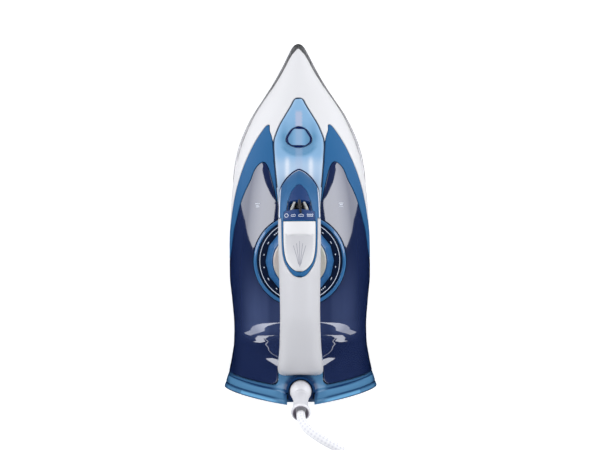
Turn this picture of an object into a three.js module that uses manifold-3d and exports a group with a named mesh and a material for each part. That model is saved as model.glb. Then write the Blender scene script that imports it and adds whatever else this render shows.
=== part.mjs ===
// A household steam iron, lying on its soleplate.
// Millimetres. +Z is up from the ironing surface, +Y points to the nose, X is across.
// The origin is the middle of the footprint, at the soleplate's underside.
import * as THREE from "three";
import { mergeVertices } from "three/addons/utils/BufferGeometryUtils.js";
import Module from "manifold-3d";

const wasm = await Module();
wasm.setup();

// ---------- driving dimensions ----------
const NOSE_Y = 145; // tip of the soleplate
const HEEL_Y = -145; // flat rear face that the iron stands on
const SOLE_TOP = 4; // thickness of the soleplate's rim
const SKIRT_BOTTOM = 4.6; // lower edge of the plastic body
const WALL = 2.4; // moulded wall thickness
const GAP = 0.4; // seam between neighbouring mouldings
const WALL_SHARE = 0.15; // share of a section's parameter that is the upright side wall
const DECK_Z = 106; // flat top of the body behind the handle
const TANK_FRONT_Y = 42; // tips of the water tank, beside the front post
const TANK_REAR_Y = -131.5; // where the tank meets the heel cover
const COVER_NOSE_Y = 140; // tip of the white front cover
const NOSE_COVER_TIP_Y = 95; // front point of the pale nose cover
const NOSE_COVER_REAR_Y = -0.6; // its rear edge, at the front post
const FILLER_REAR_Y = 53; // rear edge of the filler cap
const FILLER_FRONT_Y = 70.9; // front edge of the filler cap, where it hinges
const DIAL_Y = -39; // axis of the temperature dial
const DIAL_RADIUS = 34;
const COLLAR_RADIUS = 37.4; // ring that the dial turns in
const BALL = { y: -135, z: 102.5, radius: 8.2 }; // swivel ball of the cord entry
const GUARD = { elevation: 71, length: 33, neck: 5.4, mouth: 7.2 }; // bend guard, from the ball's centre
const CORD_RADIUS = 3.25;

// ---------- smooth tracks: a value that follows a list of stations ----------
// Monotone cubic interpolation between [station, value] pairs, held constant past both ends.
function track(stations) {
  const list = [...stations].sort((a, b) => a[0] - b[0]);
  const last = list.length - 1;
  const slope = (i) => (list[i + 1][1] - list[i][1]) / (list[i + 1][0] - list[i][0]);
  const tangent = list.map((_, i) => {
    if (i === 0) return slope(0);
    if (i === last) return slope(last - 1);
    const before = slope(i - 1);
    const after = slope(i);
    return before * after <= 0 ? 0 : (2 * before * after) / (before + after);
  });
  return (at) => {
    if (at <= list[0][0]) return list[0][1];
    if (at >= list[last][0]) return list[last][1];
    const i = list.findIndex((p, k) => k < last && at <= list[k + 1][0]);
    const step = list[i + 1][0] - list[i][0];
    const t = (at - list[i][0]) / step;
    const rest = 1 - t;
    return (
      (1 + 2 * t) * rest * rest * list[i][1] +
      t * rest * rest * step * tangent[i] +
      t * t * (3 - 2 * t) * list[i + 1][1] -
      t * t * rest * step * tangent[i + 1]
    );
  };
}

// ---------- the body's outer form, station by station along Y ----------
const halfWidth = track([
  [140.2, 0.8], [134.6, 5.6], [121.8, 12.4], [109, 20], [96.3, 28.7], [83.5, 36.8],
  [70.7, 43], [58, 47.9], [45.2, 51.7], [30, 55], [10.7, 57.3], [-30.9, 58.9],
  [-51.6, 58.8], [-72.4, 56.9], [-95, 55.3], [-106, 55.5], [-118, 57.1], [-130.5, 59.6], [-145, 63.9],
]);
const edgeHeight = track([
  [140, 6.4], [100, 10], [60, 13], [30, 16], [-40, 18], [-100, 20], [-145, 22.8],
]);
const crownHeight = track([
  [140.2, 7.2], [130, 14], [110, 24.5], [95, 31], [80, 36], [60, 41], [40, 45], [10, 47],
  [-88, 47], [-97, 51], [-104, 62.5], [-107, 69], [-115, 87], [-124, 101], [-134, 110], [-145, 112],
]);
const crownPower = track([
  [140, 1.9], [95, 2], [60, 2.4], [20, 3.4], [-39, 4.2], [-80, 3.4], [-105, 1.9], [-125, 1.4], [-145, 1.3],
]);
const flankPower = track([[140, 0.6], [60, 0.55], [-39, 0.5], [-90, 0.55], [-120, 0.7], [-145, 0.75]]);
const soleHalfWidth = track([
  [145, 0.2], [144.2, 2.6], [142.3, 4.6], [135.4, 8.6], [122.6, 15.1], [109.8, 22.4], [96.9, 30.8],
  [84.1, 39.3], [71.2, 46], [58.4, 51.1], [45.5, 54.4], [28.4, 56.6], [0, 57.4], [-40, 57.6], [-90, 54.4],
  [-110, 54], [-130, 56.5], [-136, 56.4], [-139.5, 54],
]);

// A point of the section at y: s runs from 0 at the right foot over the crown at 1 to 2 at the left.
function bodyPoint(y, s, inset = 0) {
  const side = s > 1 ? -1 : 1;
  const t = s > 1 ? 2 - s : s;
  const width = Math.max(halfWidth(y) - inset, 0.4);
  const edge = edgeHeight(y);
  if (t < WALL_SHARE) {
    const z = SKIRT_BOTTOM + ((edge - SKIRT_BOTTOM) * t) / WALL_SHARE;
    return new THREE.Vector3(side * width, y, z);
  }
  const angle = (Math.PI / 2) * ((t - WALL_SHARE) / (1 - WALL_SHARE));
  const across = width * Math.pow(Math.max(Math.cos(angle), 0), 2 / crownPower(y));
  const rise = Math.pow(Math.sin(angle), 2 * flankPower(y));
  const z = edge + (crownHeight(y) - inset - edge) * rise;
  return new THREE.Vector3(side * across, y, Math.min(z, DECK_Z - inset));
}

// The section parameter of the point at x on the right-hand side of the section at y.
function parameterAt(x, y) {
  const share = Math.min(x / halfWidth(y), 1);
  const angle = Math.acos(Math.min(Math.pow(share, crownPower(y) / 2), 1));
  return WALL_SHARE + ((1 - WALL_SHARE) * angle) / (Math.PI / 2);
}

// ---------- meshes and solids ----------
const steps = (from, to, count) =>
  Array.from({ length: count + 1 }, (_, i) => from + ((to - from) * i) / count);

function geometryOf(points, triangles) {
  const geometry = new THREE.BufferGeometry();
  const numbers = points.flatMap((p) => [p.x, p.y, p.z]);
  geometry.setAttribute("position", new THREE.Float32BufferAttribute(numbers, 3));
  geometry.setIndex(triangles);
  return geometry;
}

// A closed geometry as a manifold solid, turned right side out.
function solid(geometry) {
  const bare = geometry.clone();
  for (const name of Object.keys(bare.attributes)) if (name !== "position") bare.deleteAttribute(name);
  const merged = mergeVertices(bare, 1e-3);
  const vertProperties = new Float32Array(merged.attributes.position.array);
  const triVerts = new Uint32Array(merged.index.array);
  const made = new wasm.Manifold(new wasm.Mesh({ numProp: 3, vertProperties, triVerts }));
  if (made.volume() > 0) return made;
  for (let i = 0; i < triVerts.length; i += 3) triVerts.subarray(i, i + 3).reverse();
  return new wasm.Manifold(new wasm.Mesh({ numProp: 3, vertProperties, triVerts }));
}

function geometry(manifold) {
  const mesh = manifold.getMesh();
  const out = new THREE.BufferGeometry();
  out.setAttribute("position", new THREE.BufferAttribute(new Float32Array(mesh.vertProperties), 3));
  out.setIndex(new THREE.BufferAttribute(new Uint32Array(mesh.triVerts), 1));
  return out;
}

const cut = (from, ...tools) => tools.reduce((left, tool) => left.subtract(tool), from);
const join = (...pieces) => pieces.reduce((all, piece) => all.add(piece));

// The largest of a solid's separate bodies, which drops slivers that a cut leaves behind.
function largest(manifold) {
  return manifold.decompose().reduce((best, body) => (body.volume() > best.volume() ? body : best));
}

// A closed block between two grids of points: outer(i, j) and inner(i, j).
function block(rows, cols, outer, inner) {
  const points = [];
  for (const face of [outer, inner])
    for (let i = 0; i <= rows; i++) for (let j = 0; j <= cols; j++) points.push(face(i / rows, j / cols));
  const at = (side, i, j) => side * (rows + 1) * (cols + 1) + i * (cols + 1) + j;
  const triangles = [];
  const quad = (a, b, c, d) => triangles.push(a, b, c, a, c, d);
  for (let i = 0; i < rows; i++)
    for (let j = 0; j < cols; j++) {
      quad(at(0, i, j), at(0, i + 1, j), at(0, i + 1, j + 1), at(0, i, j + 1));
      quad(at(1, i, j + 1), at(1, i + 1, j + 1), at(1, i + 1, j), at(1, i, j));
    }
  for (let i = 0; i < rows; i++) {
    quad(at(0, i + 1, 0), at(0, i, 0), at(1, i, 0), at(1, i + 1, 0));
    quad(at(0, i, cols), at(0, i + 1, cols), at(1, i + 1, cols), at(1, i, cols));
  }
  for (let j = 0; j < cols; j++) {
    quad(at(0, 0, j), at(0, 0, j + 1), at(1, 0, j + 1), at(1, 0, j));
    quad(at(0, rows, j + 1), at(0, rows, j), at(1, rows, j), at(1, rows, j + 1));
  }
  return solid(geometryOf(points, triangles));
}

// A moulded panel of the body between two stations, and between two section parameters.
function panel({ from, to, rows, cols, low, high, outer = 0, inner = WALL }) {
  const point = (u, v, inset) => {
    const y = from + (to - from) * u;
    return bodyPoint(y, low(y) + (high(y) - low(y)) * v, inset);
  };
  return block(rows, cols, (u, v) => point(u, v, outer), (u, v) => point(u, v, inner));
}

// A closed loft through rings that all have the same number of points.
function loft(rings) {
  const count = rings[0].length;
  const points = rings.flat();
  const triangles = [];
  for (let i = 0; i + 1 < rings.length; i++)
    for (let j = 0; j < count; j++) {
      const a = i * count + j;
      const b = i * count + ((j + 1) % count);
      triangles.push(a, b, b + count, a, b + count, a + count);
    }
  [0, rings.length - 1].forEach((ring, end) => {
    const middle = new THREE.Vector3();
    rings[ring].forEach((p) => middle.addScaledVector(p, 1 / count));
    const hub = points.push(middle) - 1;
    for (let j = 0; j < count; j++) {
      const a = ring * count + j;
      const b = ring * count + ((j + 1) % count);
      triangles.push(...(end ? [a, b, hub] : [b, a, hub]));
    }
  });
  return solid(geometryOf(points, triangles));
}

function cylinder(radius, z0, z1, { x = 0, y = 0, sides = 16, topRadius = radius, frame = null } = {}) {
  const shape = new THREE.CylinderGeometry(topRadius, radius, z1 - z0, sides);
  shape.rotateX(Math.PI / 2);
  shape.translate(x, y, (z0 + z1) / 2);
  if (frame) shape.applyMatrix4(frame);
  return solid(shape);
}

function box(x0, x1, y0, y1, z0, z1, frame = null) {
  const shape = new THREE.BoxGeometry(x1 - x0, y1 - y0, z1 - z0);
  shape.translate((x0 + x1) / 2, (y0 + y1) / 2, (z0 + z1) / 2);
  if (frame) shape.applyMatrix4(frame);
  return solid(shape);
}

// An upright prism over a plan outline, with optional holes.
function prism(outline, z0, z1, { holes = [], frame = null } = {}) {
  const shape = new THREE.Shape(outline);
  shape.holes = holes.map((hole) => new THREE.Path(hole));
  const made = new THREE.ExtrudeGeometry(shape, { depth: z1 - z0, bevelEnabled: false });
  made.translate(0, 0, z0);
  if (frame) made.applyMatrix4(frame);
  return solid(made);
}

const circle = (radius, x, y, sides) =>
  steps(0, 2 * Math.PI, sides)
    .slice(0, sides)
    .map((a) => new THREE.Vector2(x + radius * Math.cos(a), y + radius * Math.sin(a)));

// A plan outline, symmetrical about X = 0, from a half-width track between two stations.
function planOutline(half, from, to, count, inset = 0) {
  const right = steps(from, to, count).map((y) => new THREE.Vector2(Math.max(half(y) - inset, 0.3), y));
  right[0].y += inset;
  right[count].y -= inset;
  return [...right, ...[...right].reverse().map((p) => new THREE.Vector2(-p.x, p.y))];
}

// A closed tube of the given section radius along a list of points.
function tube(points, radius, sides, stepCount) {
  const path = new THREE.CatmullRomCurve3(points, false, "centripetal");
  const section = new THREE.Shape(circle(radius, 0, 0, sides));
  const options = { steps: stepCount, extrudePath: path, bevelEnabled: false };
  return solid(new THREE.ExtrudeGeometry(section, options));
}

// A solid of revolution about the Z axis, from a closed list of [radius, z] corners.
function turned(profile, sides, { x = 0, y = 0, frame = null } = {}) {
  const corners = [...profile, profile[0]].map(([r, z]) => new THREE.Vector2(r, z));
  const made = new THREE.LatheGeometry(corners, sides);
  made.rotateX(Math.PI / 2);
  made.translate(x, y, 0);
  if (frame) made.applyMatrix4(frame);
  return solid(made);
}

// A frame at a point, turned about X so that its Z axis leans forward by the angle in degrees.
function tilted(x, y, z, degrees) {
  return new THREE.Matrix4()
    .makeTranslation(x, y, z)
    .multiply(new THREE.Matrix4().makeRotationX((-degrees * Math.PI) / 180));
}

const colours = {
  white: 0xeeeef2,
  blue: 0x1f5f9f,
  navy: 0x14204a,
  paleBlue: 0x7fb0dc,
  heelBlue: 0x4a86bd,
  black: 0x16181c,
  pearl: 0xc9c8c0,
  sole: 0x9a9c9e,
  aluminium: 0xb4b6b8,
  steel: 0xc4c7ca,
  brass: 0xc9a75a,
  rubber: 0x2a2c2f,
  ceramic: 0xe6e0d0,
  cord: 0xf1f1f4,
  shield: 0x3a3c40,
};
const group = new THREE.Group();
function part(name, manifold, colour, roughness = 0.45, metalness = 0) {
  const material = new THREE.MeshStandardMaterial({ color: colours[colour], roughness, metalness });
  const mesh = new THREE.Mesh(geometry(manifold), material);
  mesh.name = name;
  group.add(mesh);
}

// The body as a closed solid between two stations, with the given inset and with its foot lowered.
function bodySolid(from, to, rows, cols, inset, lowered = 0) {
  const rings = steps(from, to, rows).map((y) =>
    steps(0, 2, cols).map((s) => {
      const p = bodyPoint(y, s, inset);
      if (s === 0 || s === 2) p.z -= lowered;
      return p;
    }),
  );
  return loft(rings);
}

// ---------- plan outlines of the mouldings, as half-widths along Y ----------
const trimOuter = track([
  [73, 25], [72.4, 26.6], [68.3, 30.1], [64.2, 33], [56, 38], [47.7, 42.1], [35.3, 47.3], [18.9, 52.4],
  [2.4, 55.9], [-5.9, 57.2], [-14, 58.6], [-17, 62],
]);
const trimInner = track([
  [73, 25], [72.4, 24.4], [68.1, 24.2], [63.7, 22.8], [59.5, 21.9], [51, 21.2], [45, 20.7],
]);
const windowOuter = track([
  [41.6, 29], [41.3, 30.6], [38.9, 33.9], [34.8, 36.8], [26.7, 40], [18.5, 44.2], [10.4, 47.6], [2.2, 50.1],
  [-6, 52.3], [-14.2, 54.5], [-22.5, 55.8], [-30.8, 57], [-40, 59.5], [-42, 64],
]);
const windowInner = track([
  [41.6, 29], [41.3, 28.2], [38.7, 26.1], [34.6, 24.4], [26.4, 22.3], [18.3, 20.3], [8, 18.2],
]);
const noseCoverHalf = track([
  [95.4, 0.3], [94.9, 2.5], [93.2, 4.3], [88.9, 6.5], [80.4, 11.5], [72, 16.3], [63.6, 19.7], [59.5, 20.9],
  [55.5, 21.2], [42.8, 20.5], [26.4, 19.1], [10.2, 17.7], [-4.4, 16.9],
]);
const fillerHalf = track([
  [70.9, 0.4], [70.2, 2.7], [69, 5.2], [66.8, 7.4], [64.4, 8.9], [61.9, 10.3], [60.2, 10.7], [58.2, 10.5],
  [56.2, 8.9], [54.6, 6.4], [53.5, 3.7], [53, 0.4],
]);
const bezelHalf = track([
  [-3.6, 30], [-4.6, 13.9], [-20.9, 13.6], [-28, 12.6], [-33, 11.5], [-38.6, 9.3], [-42.1, 7.3],
  [-45.5, 4.2], [-47.2, 0.3],
]);
const triggerHalf = track([
  [-7.2, 10.4], [-8.4, 11.5], [-20.9, 11.4], [-28, 10.4], [-33, 9], [-38.6, 6.2], [-42.1, 2.9], [-43.4, 0.5],
]);
const HIGH = 200;
const sweep = (half, from, to, count, grow) => prism(planOutline(half, from, to, count, -grow), 0, HIGH);

// The band between two half-width tracks on one side of the body.
function band(inner, outer, from, to, count, grow, side) {
  const stations = steps(from, to, count).map((y) => {
    const low = inner(y) - grow;
    return { y, low, high: Math.max(outer(y) + grow, low + 0.4) };
  });
  stations[count].y += grow;
  const out = stations.map(({ y, high }) => new THREE.Vector2(side * high, y));
  const back = [...stations].reverse().map(({ y, low }) => new THREE.Vector2(side * low, y));
  const outline = [...out, ...back];
  return prism(side > 0 ? outline : outline.reverse(), 0, HIGH);
}

// ---------- soleplate and heater ----------
const soleOutline = planOutline(soleHalfWidth, -139.5, NOSE_Y, 28);
const soleHoles = [];
for (const side of [-1, 1])
  for (const y of steps(18, 108, 6)) soleHoles.push(circle(1.6, side * (soleHalfWidth(y) - 9), y, 6));
for (const y of [96, 112, 124]) soleHoles.push(circle(1.6, 0, y, 6));
part("soleplate", prism(soleOutline, 0, SOLE_TOP, { holes: soleHoles }), "sole", 0.32, 0.9);

const LID_TOP = 16.8;
const TANK_BASE = { low: 24, high: 26 };
const VALVE_Y = 10;
const castingOutline = planOutline(halfWidth, -110, 118, 12, 9.4);
part("heater_casting", prism(castingOutline, SOLE_TOP + 0.3, 15), "aluminium", 0.5, 0.8);
const lidOutline = planOutline(halfWidth, -90, 50, 10, 34);
part("steam_chamber_lid", prism(lidOutline, 15.3, LID_TOP), "steel", 0.35, 0.9);
const elementAt = (y, side) => new THREE.Vector3(side * (halfWidth(y) - 24), y, 18.5);
const elementPath = [
  ...steps(-97, 60, 6).map((y) => elementAt(y, 1)),
  new THREE.Vector3(14, 76, 18.5),
  new THREE.Vector3(0, 82, 18.5),
  new THREE.Vector3(-14, 76, 18.5),
  ...steps(60, -97, 6).map((y) => elementAt(y, -1)),
];
part("heating_element", tube(elementPath, 3.1, 6, 26), "steel", 0.4, 0.9);
part("thermostat", cylinder(10, LID_TOP + 0.3, 23.6, { y: DIAL_Y, sides: 20 }), "ceramic", 0.6);
part("thermal_fuse", box(-4, 4, -80, -66, LID_TOP + 0.3, 22), "ceramic", 0.6);
const valveSeat = cylinder(4, LID_TOP + 0.3, 23.6, { y: VALVE_Y, sides: 12 });
const valveBore = cylinder(1.9, LID_TOP, 24, { y: VALVE_Y, sides: 10 });
part("drip_valve_seat", cut(valveSeat, valveBore), "brass", 0.3, 0.9);
const skirtOutline = planOutline(halfWidth, -110, 126, 12, 5.8);
const skirtHole = planOutline(halfWidth, -110, 124, 12, 8.6);
part("insulating_skirt", prism(skirtOutline, SKIRT_BOTTOM, 9, { holes: [skirtHole] }), "shield", 0.8);

// ---------- covers ----------
const half = GAP / 2;
const DEEP = WALL + GAP; // inset of the tank where a cover lies over it
const TANK_INNER = 2 * WALL + GAP; // inset of the tank's inside
const FAR = 80;
const bothSides = (make) => join(make(-1), make(1));
const trimBand = (grow, side) => band(trimInner, trimOuter, -17, 72.8, 16, grow, side);
const windowBand = (grow, side) => band(windowInner, windowOuter, -6, 41.6, 10, grow, side);
const rearWindowBand = (grow, side) => band(() => -1, windowOuter, -42, 4, 8, grow, side);
const noseRegion = (grow) => sweep(noseCoverHalf, NOSE_COVER_REAR_Y, NOSE_COVER_TIP_Y + 0.2, 16, grow);

const frontShell = panel({ from: -16, to: COVER_NOSE_Y, rows: 15, cols: 14, low: () => 0, high: () => 2 });
const centreCut = prism(planOutline(trimOuter, -30, 56, 10, -half), 0, HIGH);
const trimCut = bothSides((side) => trimBand(half, side));
part("front_cover", largest(cut(frontShell, noseRegion(half), trimCut, centreCut)), "white", 0.35);

for (const [name, side] of [["side_trim_right", 1], ["side_trim_left", -1]]) {
  const low = () => (side > 0 ? 0 : 1);
  const high = () => (side > 0 ? 1 : 2);
  const front = panel({ from: 2, to: 73, rows: 9, cols: 7, low, high });
  const rear = panel({ from: -42, to: 2.5, rows: 5, cols: 7, low, high });
  const noseSide = band(() => 0, noseCoverHalf, -6, 62, 10, half, side);
  const whiteStrip = band(trimOuter, () => FAR, -17, 6, 6, half, side);
  const frontTrim = cut(front.intersect(trimBand(-half, side)), noseSide, windowBand(half, side));
  const rearTrim = cut(rear, whiteStrip, rearWindowBand(half, side), noseSide, windowBand(half, side));
  part(name, largest(join(frontTrim, rearTrim)), "blue", 0.25);
}

const noseShell = panel({
  from: NOSE_COVER_REAR_Y - 1,
  to: NOSE_COVER_TIP_Y + 1,
  rows: 10,
  cols: 10,
  low: () => 0.35,
  high: () => 1.65,
});
const fillerHole = sweep(fillerHalf, FILLER_REAR_Y, FILLER_FRONT_Y, 10, half);
const rodHole = cylinder(2.6, 20, 60, { y: VALVE_Y, sides: 8 });
const nosePiece = cut(noseShell.intersect(noseRegion(-half)), fillerHole, rodHole);
part("nose_cover", largest(nosePiece), "paleBlue", 0.15);

// ---------- filler cap, which lifts at its rear edge and hinges at its front ----------
const capPanel = (outer, inner) =>
  panel({ from: 52, to: 71.5, rows: 4, cols: 6, low: () => 0.7, high: () => 1.3, outer, inner });
const capRegion = sweep(fillerHalf, FILLER_REAR_Y, FILLER_FRONT_Y, 10, -half);
const sealRegion = sweep(fillerHalf, FILLER_REAR_Y + 0.6, FILLER_FRONT_Y - 0.7, 8, -1.6);
part("filler_cap", capPanel(0, 1.5).intersect(capRegion), "paleBlue", 0.15);
part("filler_seal", capPanel(1.8, 2.5).intersect(sealRegion), "rubber", 0.8);

// ---------- water tank ----------
const BULKHEAD_Y = -100;
const TONGUE = { halfWidth: 17.4, frontY: -120.5 };
const tankOuter = bodySolid(TANK_REAR_Y, 88, 14, 12, DEEP);
const tankVisible = bodySolid(TANK_REAR_Y, TANK_FRONT_Y, 14, 14, 0);
const tankRegion = join(
  bothSides((side) => windowBand(-half, side)),
  bothSides((side) => rearWindowBand(-half, side)),
  box(-FAR, FAR, -140, -41.8, 0, HIGH),
);
const tongueClear = TONGUE.halfWidth + GAP;
const heelTongue = box(-tongueClear, tongueClear, -140, TONGUE.frontY + GAP, 60, HIGH);
const ballPocket = box(-12, 12, -140, -124.5, 80, HIGH);
const visible = cut(tankVisible.intersect(tankRegion), noseRegion(half), heelTongue);
const bulkhead = box(-FAR, FAR, BULKHEAD_Y - WALL, BULKHEAD_Y, TANK_BASE.low - 2, HIGH);
const cavity = cut(bodySolid(TANK_REAR_Y + WALL, 85.6, 14, 12, TANK_INNER, 5), bulkhead);
const lowFront = box(-FAR, FAR, 41, 100, 0, TANK_BASE.low - 2);
const DIAL_FLOOR = 43.2;
const dialPocket = cylinder(COLLAR_RADIUS + 0.4, DIAL_FLOOR, 60, { y: DIAL_Y, sides: 28 });
const spindleHole = cylinder(3.6, 10, 60, { y: DIAL_Y, sides: 12 });
const tankMouth = sweep(fillerHalf, FILLER_REAR_Y, FILLER_FRONT_Y, 8, -3);
const tankCuts = [cavity, lowFront, dialPocket, spindleHole, tankMouth, rodHole, ballPocket];
part("water_tank", largest(cut(join(tankOuter, visible), ...tankCuts)), "navy", 0.12);

const baseSlab = bodySolid(BULKHEAD_Y + GAP, 85, 12, 10, TANK_INNER + 2 * GAP)
  .intersect(box(-FAR, FAR, -120, 100, TANK_BASE.low, TANK_BASE.high));
part("tank_base", cut(baseSlab, spindleHole, rodHole), "navy", 0.4);
const sleeve = [[4.4, TANK_BASE.high + 0.3], [6, TANK_BASE.high + 0.3], [6, 41.4], [4.4, 41.4]];
part("spindle_sleeve", turned(sleeve, 14, { y: DIAL_Y }), "navy", 0.4);

// ---------- temperature dial ----------
const collar = [
  [DIAL_RADIUS + 0.4, DIAL_FLOOR + 0.3], [COLLAR_RADIUS, DIAL_FLOOR + 0.3], [COLLAR_RADIUS, 48.4],
  [COLLAR_RADIUS - 1, 49.6], [DIAL_RADIUS + 0.9, 49.6], [DIAL_RADIUS + 0.4, 49],
];
part("dial_collar", turned(collar, 28, { y: DIAL_Y }), "paleBlue", 0.2);
const DIAL = { low: DIAL_FLOOR + 0.4, rim: 50.4, top: 61.5, knob: 27.6, knobTop: 22.8 };
const discShape = { y: DIAL_Y, sides: 28, topRadius: DIAL_RADIUS - 0.8 };
const dialDisc = cylinder(DIAL_RADIUS, DIAL.low, DIAL.rim, discShape);
const knobShape = { y: DIAL_Y, sides: 14, topRadius: DIAL.knobTop };
const dialKnob = cylinder(DIAL.knob, DIAL.rim - 1, DIAL.top, knobShape);
part("temperature_dial", join(dialDisc, dialKnob), "blue", 0.25);
part("dial_cap", cylinder(21.2, DIAL.top + 0.3, DIAL.top + 1.6, { y: DIAL_Y, sides: 24 }), "pearl", 0.4);
part("dial_spindle", cylinder(3, 23.9, DIAL.low - 0.3, { y: DIAL_Y, sides: 12 }), "steel", 0.3, 0.9);

// ---------- handle: rings between an outer line and an inner line of the side view ----------
const INNER_POWER = 2.4; // how square the side of the ring that the fingers hold is
const lines = [
  // share along the handle, outer y, outer z, inner y, inner z, half-width, outer power
  [0, 36, 38, 1.5, 38, 14.6, 1.4],
  [0.12, 31.5, 60, 0.2, 60, 15.6, 1.5],
  [0.25, 22.5, 84, -6.5, 78, 15.9, 1.7],
  [0.37, 7.5, 108.5, -16, 92, 16, 2],
  [0.48, -16, 128.5, -32, 100, 15.8, 2.4],
  [0.6, -45, 139.5, -50, 103, 15.1, 2.6],
  [0.72, -75, 140.5, -72, 102.5, 14.6, 2.6],
  [0.84, -103, 131.5, -92, 96, 15.3, 2.8],
  [0.93, -118, 116, -103, 84, 16.6, 4],
  [1, -124.5, 96, -106, 66, 17.5, 6],
];
const column = (k) => track(lines.map((row) => [row[0], row[k]]));
const [outerY, outerZ, innerY, innerZ, gripWidth, gripPower] = [1, 2, 3, 4, 5, 6].map(column);

// A point of the handle's skin: u runs along it, and the angle round it from the right over the outer line.
function handlePoint(u, angle, inset = 0) {
  const outer = new THREE.Vector3(0, outerY(u), outerZ(u));
  const inner = new THREE.Vector3(0, innerY(u), innerZ(u));
  const reach = outer.clone().sub(inner).multiplyScalar(0.5);
  const centre = outer.clone().add(inner).multiplyScalar(0.5);
  const length = reach.length();
  const power = 2 / (Math.sin(angle) >= 0 ? gripPower(u) : INNER_POWER);
  const bend = (value) => Math.sign(value) * Math.pow(Math.abs(value), power);
  centre.x = (gripWidth(u) - inset) * bend(Math.cos(angle));
  return centre.addScaledVector(reach, ((length - inset) / length) * bend(Math.sin(angle)));
}
function handleShell({ rows, cols, from, to, start = 0, end = 1, outer = 0, inner = WALL }) {
  const point = (u, v, inset) => handlePoint(start + (end - start) * u, from + (to - from) * v, inset);
  return block(rows, cols, (u, v) => point(u, v, outer), (u, v) => point(u, v, inner));
}
const SEAM = 0.014; // half the seam between the handle's two shells, as an angle in radians
const bodyClear = join(
  bodySolid(-131, 60, 18, 16, -GAP),
  bodySolid(-134, -112, 5, 20, -1.5 * GAP),
  box(-17, 17, -150, -125.2, 60, HIGH),
);
const topShell = cut(handleShell({ rows: 20, cols: 10, from: SEAM, to: Math.PI - SEAM }), bodyClear);
const gripSide = { rows: 16, cols: 8, from: Math.PI + SEAM, to: 2 * Math.PI - SEAM };
const gripShell = cut(handleShell(gripSide), bodyClear);
const bezelRegion = (grow) =>
  join(sweep(bezelHalf, -47.2, -4.7, 12, grow), box(-40, 40, -4.9 - grow, 60, 0, HIGH));
part("handle_upper_shell", largest(cut(topShell, bezelRegion(half))), "white", 0.4);
part("handle_lower_shell", largest(gripShell), "blue", 0.5);

const TRIGGER_LEAN = 25;
const TRIGGER_SEAT = { y: -25.4, z: 131.5 };
const triggerFrame = tilted(0, TRIGGER_SEAT.y, TRIGGER_SEAT.z, TRIGGER_LEAN);
const lean = Math.cos((TRIGGER_LEAN * Math.PI) / 180);
const triggerPlan = (grow) =>
  prism(
    planOutline((v) => triggerHalf(TRIGGER_SEAT.y + v * lean) + grow, -19.4 - grow, 19.8 + grow, 10),
    -20,
    20,
    { frame: triggerFrame },
  );
const WINDOW_LEAN = 43;
const windowFrame = tilted(0, 5.5, 110.6, WINDOW_LEAN);
const windowCut = box(-8.4, 8.4, -5.2, 5.2, -6, 8, windowFrame);
const bezelShell = topShell.intersect(bezelRegion(-half));
part("handle_bezel", largest(cut(bezelShell, triggerPlan(0.4), windowCut)), "blue", 0.2);

// ---------- steam trigger and pump ----------
const triggerSkin = handleShell({
  rows: 7, cols: 8, from: 0.25 * Math.PI, to: 0.75 * Math.PI, start: 0.4, end: 0.66, outer: -1.1, inner: 2.4,
});
part("steam_trigger", largest(triggerSkin.intersect(triggerPlan(0))), "white", 0.35);
part("pump_piston", cylinder(4.4, -17, -4.4, { sides: 12, frame: triggerFrame }), "white", 0.5);
const cylinderShell = cylinder(6.4, -27, -8.6, { sides: 14, frame: triggerFrame });
const cylinderBore = cylinder(4.9, -25, -8, { sides: 14, frame: triggerFrame });
part("pump_cylinder", cut(cylinderShell, cylinderBore), "shield", 0.6);
const SPRING = { turns: 3, radius: 3.4, low: -24.2, height: 6.2 };
const springPath = steps(0, 1, SPRING.turns * 8).map((t) => {
  const a = 2 * Math.PI * SPRING.turns * t;
  const [x, y] = [SPRING.radius * Math.cos(a), SPRING.radius * Math.sin(a)];
  return new THREE.Vector3(x, y, SPRING.low + SPRING.height * t).applyMatrix4(triggerFrame);
});
part("trigger_spring", tube(springPath, 0.45, 4, SPRING.turns * 9), "steel", 0.3, 0.9);

// ---------- steam selector: a lever that swings over the window, and the rod it lifts ----------
part("selector_bed", box(-8, 8, -5.4, 4.2, -6.8, -5.6, windowFrame), "black", 0.15);
const LEVER_PIVOT = { v: 1.6, restAngle: 4.5 };
const leverFrame = windowFrame
  .clone()
  .multiply(new THREE.Matrix4().makeTranslation(0, LEVER_PIVOT.v, 0))
  .multiply(new THREE.Matrix4().makeRotationZ((LEVER_PIVOT.restAngle * Math.PI) / 180));
const leverHub = cylinder(2.6, -4.6, 1.2, { sides: 12, frame: leverFrame });
const leverArm = box(-1.3, 1.3, -11, 1.6, 1, 2.9, leverFrame);
part("steam_selector", join(leverHub, leverArm), "black", 0.25);
part("steam_valve_rod", cylinder(1.6, 19.4, 96, { y: VALVE_Y, sides: 10 }), "steel", 0.3, 0.9);

// ---------- heel cover, with the notch for the cord's ball joint ----------
const heelOuter = bodySolid(HEEL_Y, TANK_REAR_Y - GAP, 3, 20, 0);
const tongueSolid = bodySolid(TANK_REAR_Y - 1, TONGUE.frontY, 3, 20, 0)
  .intersect(box(-TONGUE.halfWidth, TONGUE.halfWidth, -140, TONGUE.frontY, 70, HIGH));
const heelInner = join(
  bodySolid(HEEL_Y + WALL, TANK_REAR_Y + 1, 3, 20, WALL, 5),
  bodySolid(TANK_REAR_Y, TONGUE.frontY + 2, 3, 20, WALL),
);
const notch = join(
  box(-10.6, 10.6, HEEL_Y - 1, -137, 93, HIGH),
  cylinder(BALL.radius + 1.2, 91, HIGH, { y: BALL.y, sides: 18 }),
);
const heelScrewX = 40;
const heelScrewZ = 28;
const alongY = (x, z) =>
  new THREE.Matrix4().makeTranslation(x, HEEL_Y, z).multiply(new THREE.Matrix4().makeRotationX(-Math.PI / 2));
const heelScrews = [["heel_screw_right", heelScrewX], ["heel_screw_left", -heelScrewX]];
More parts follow.
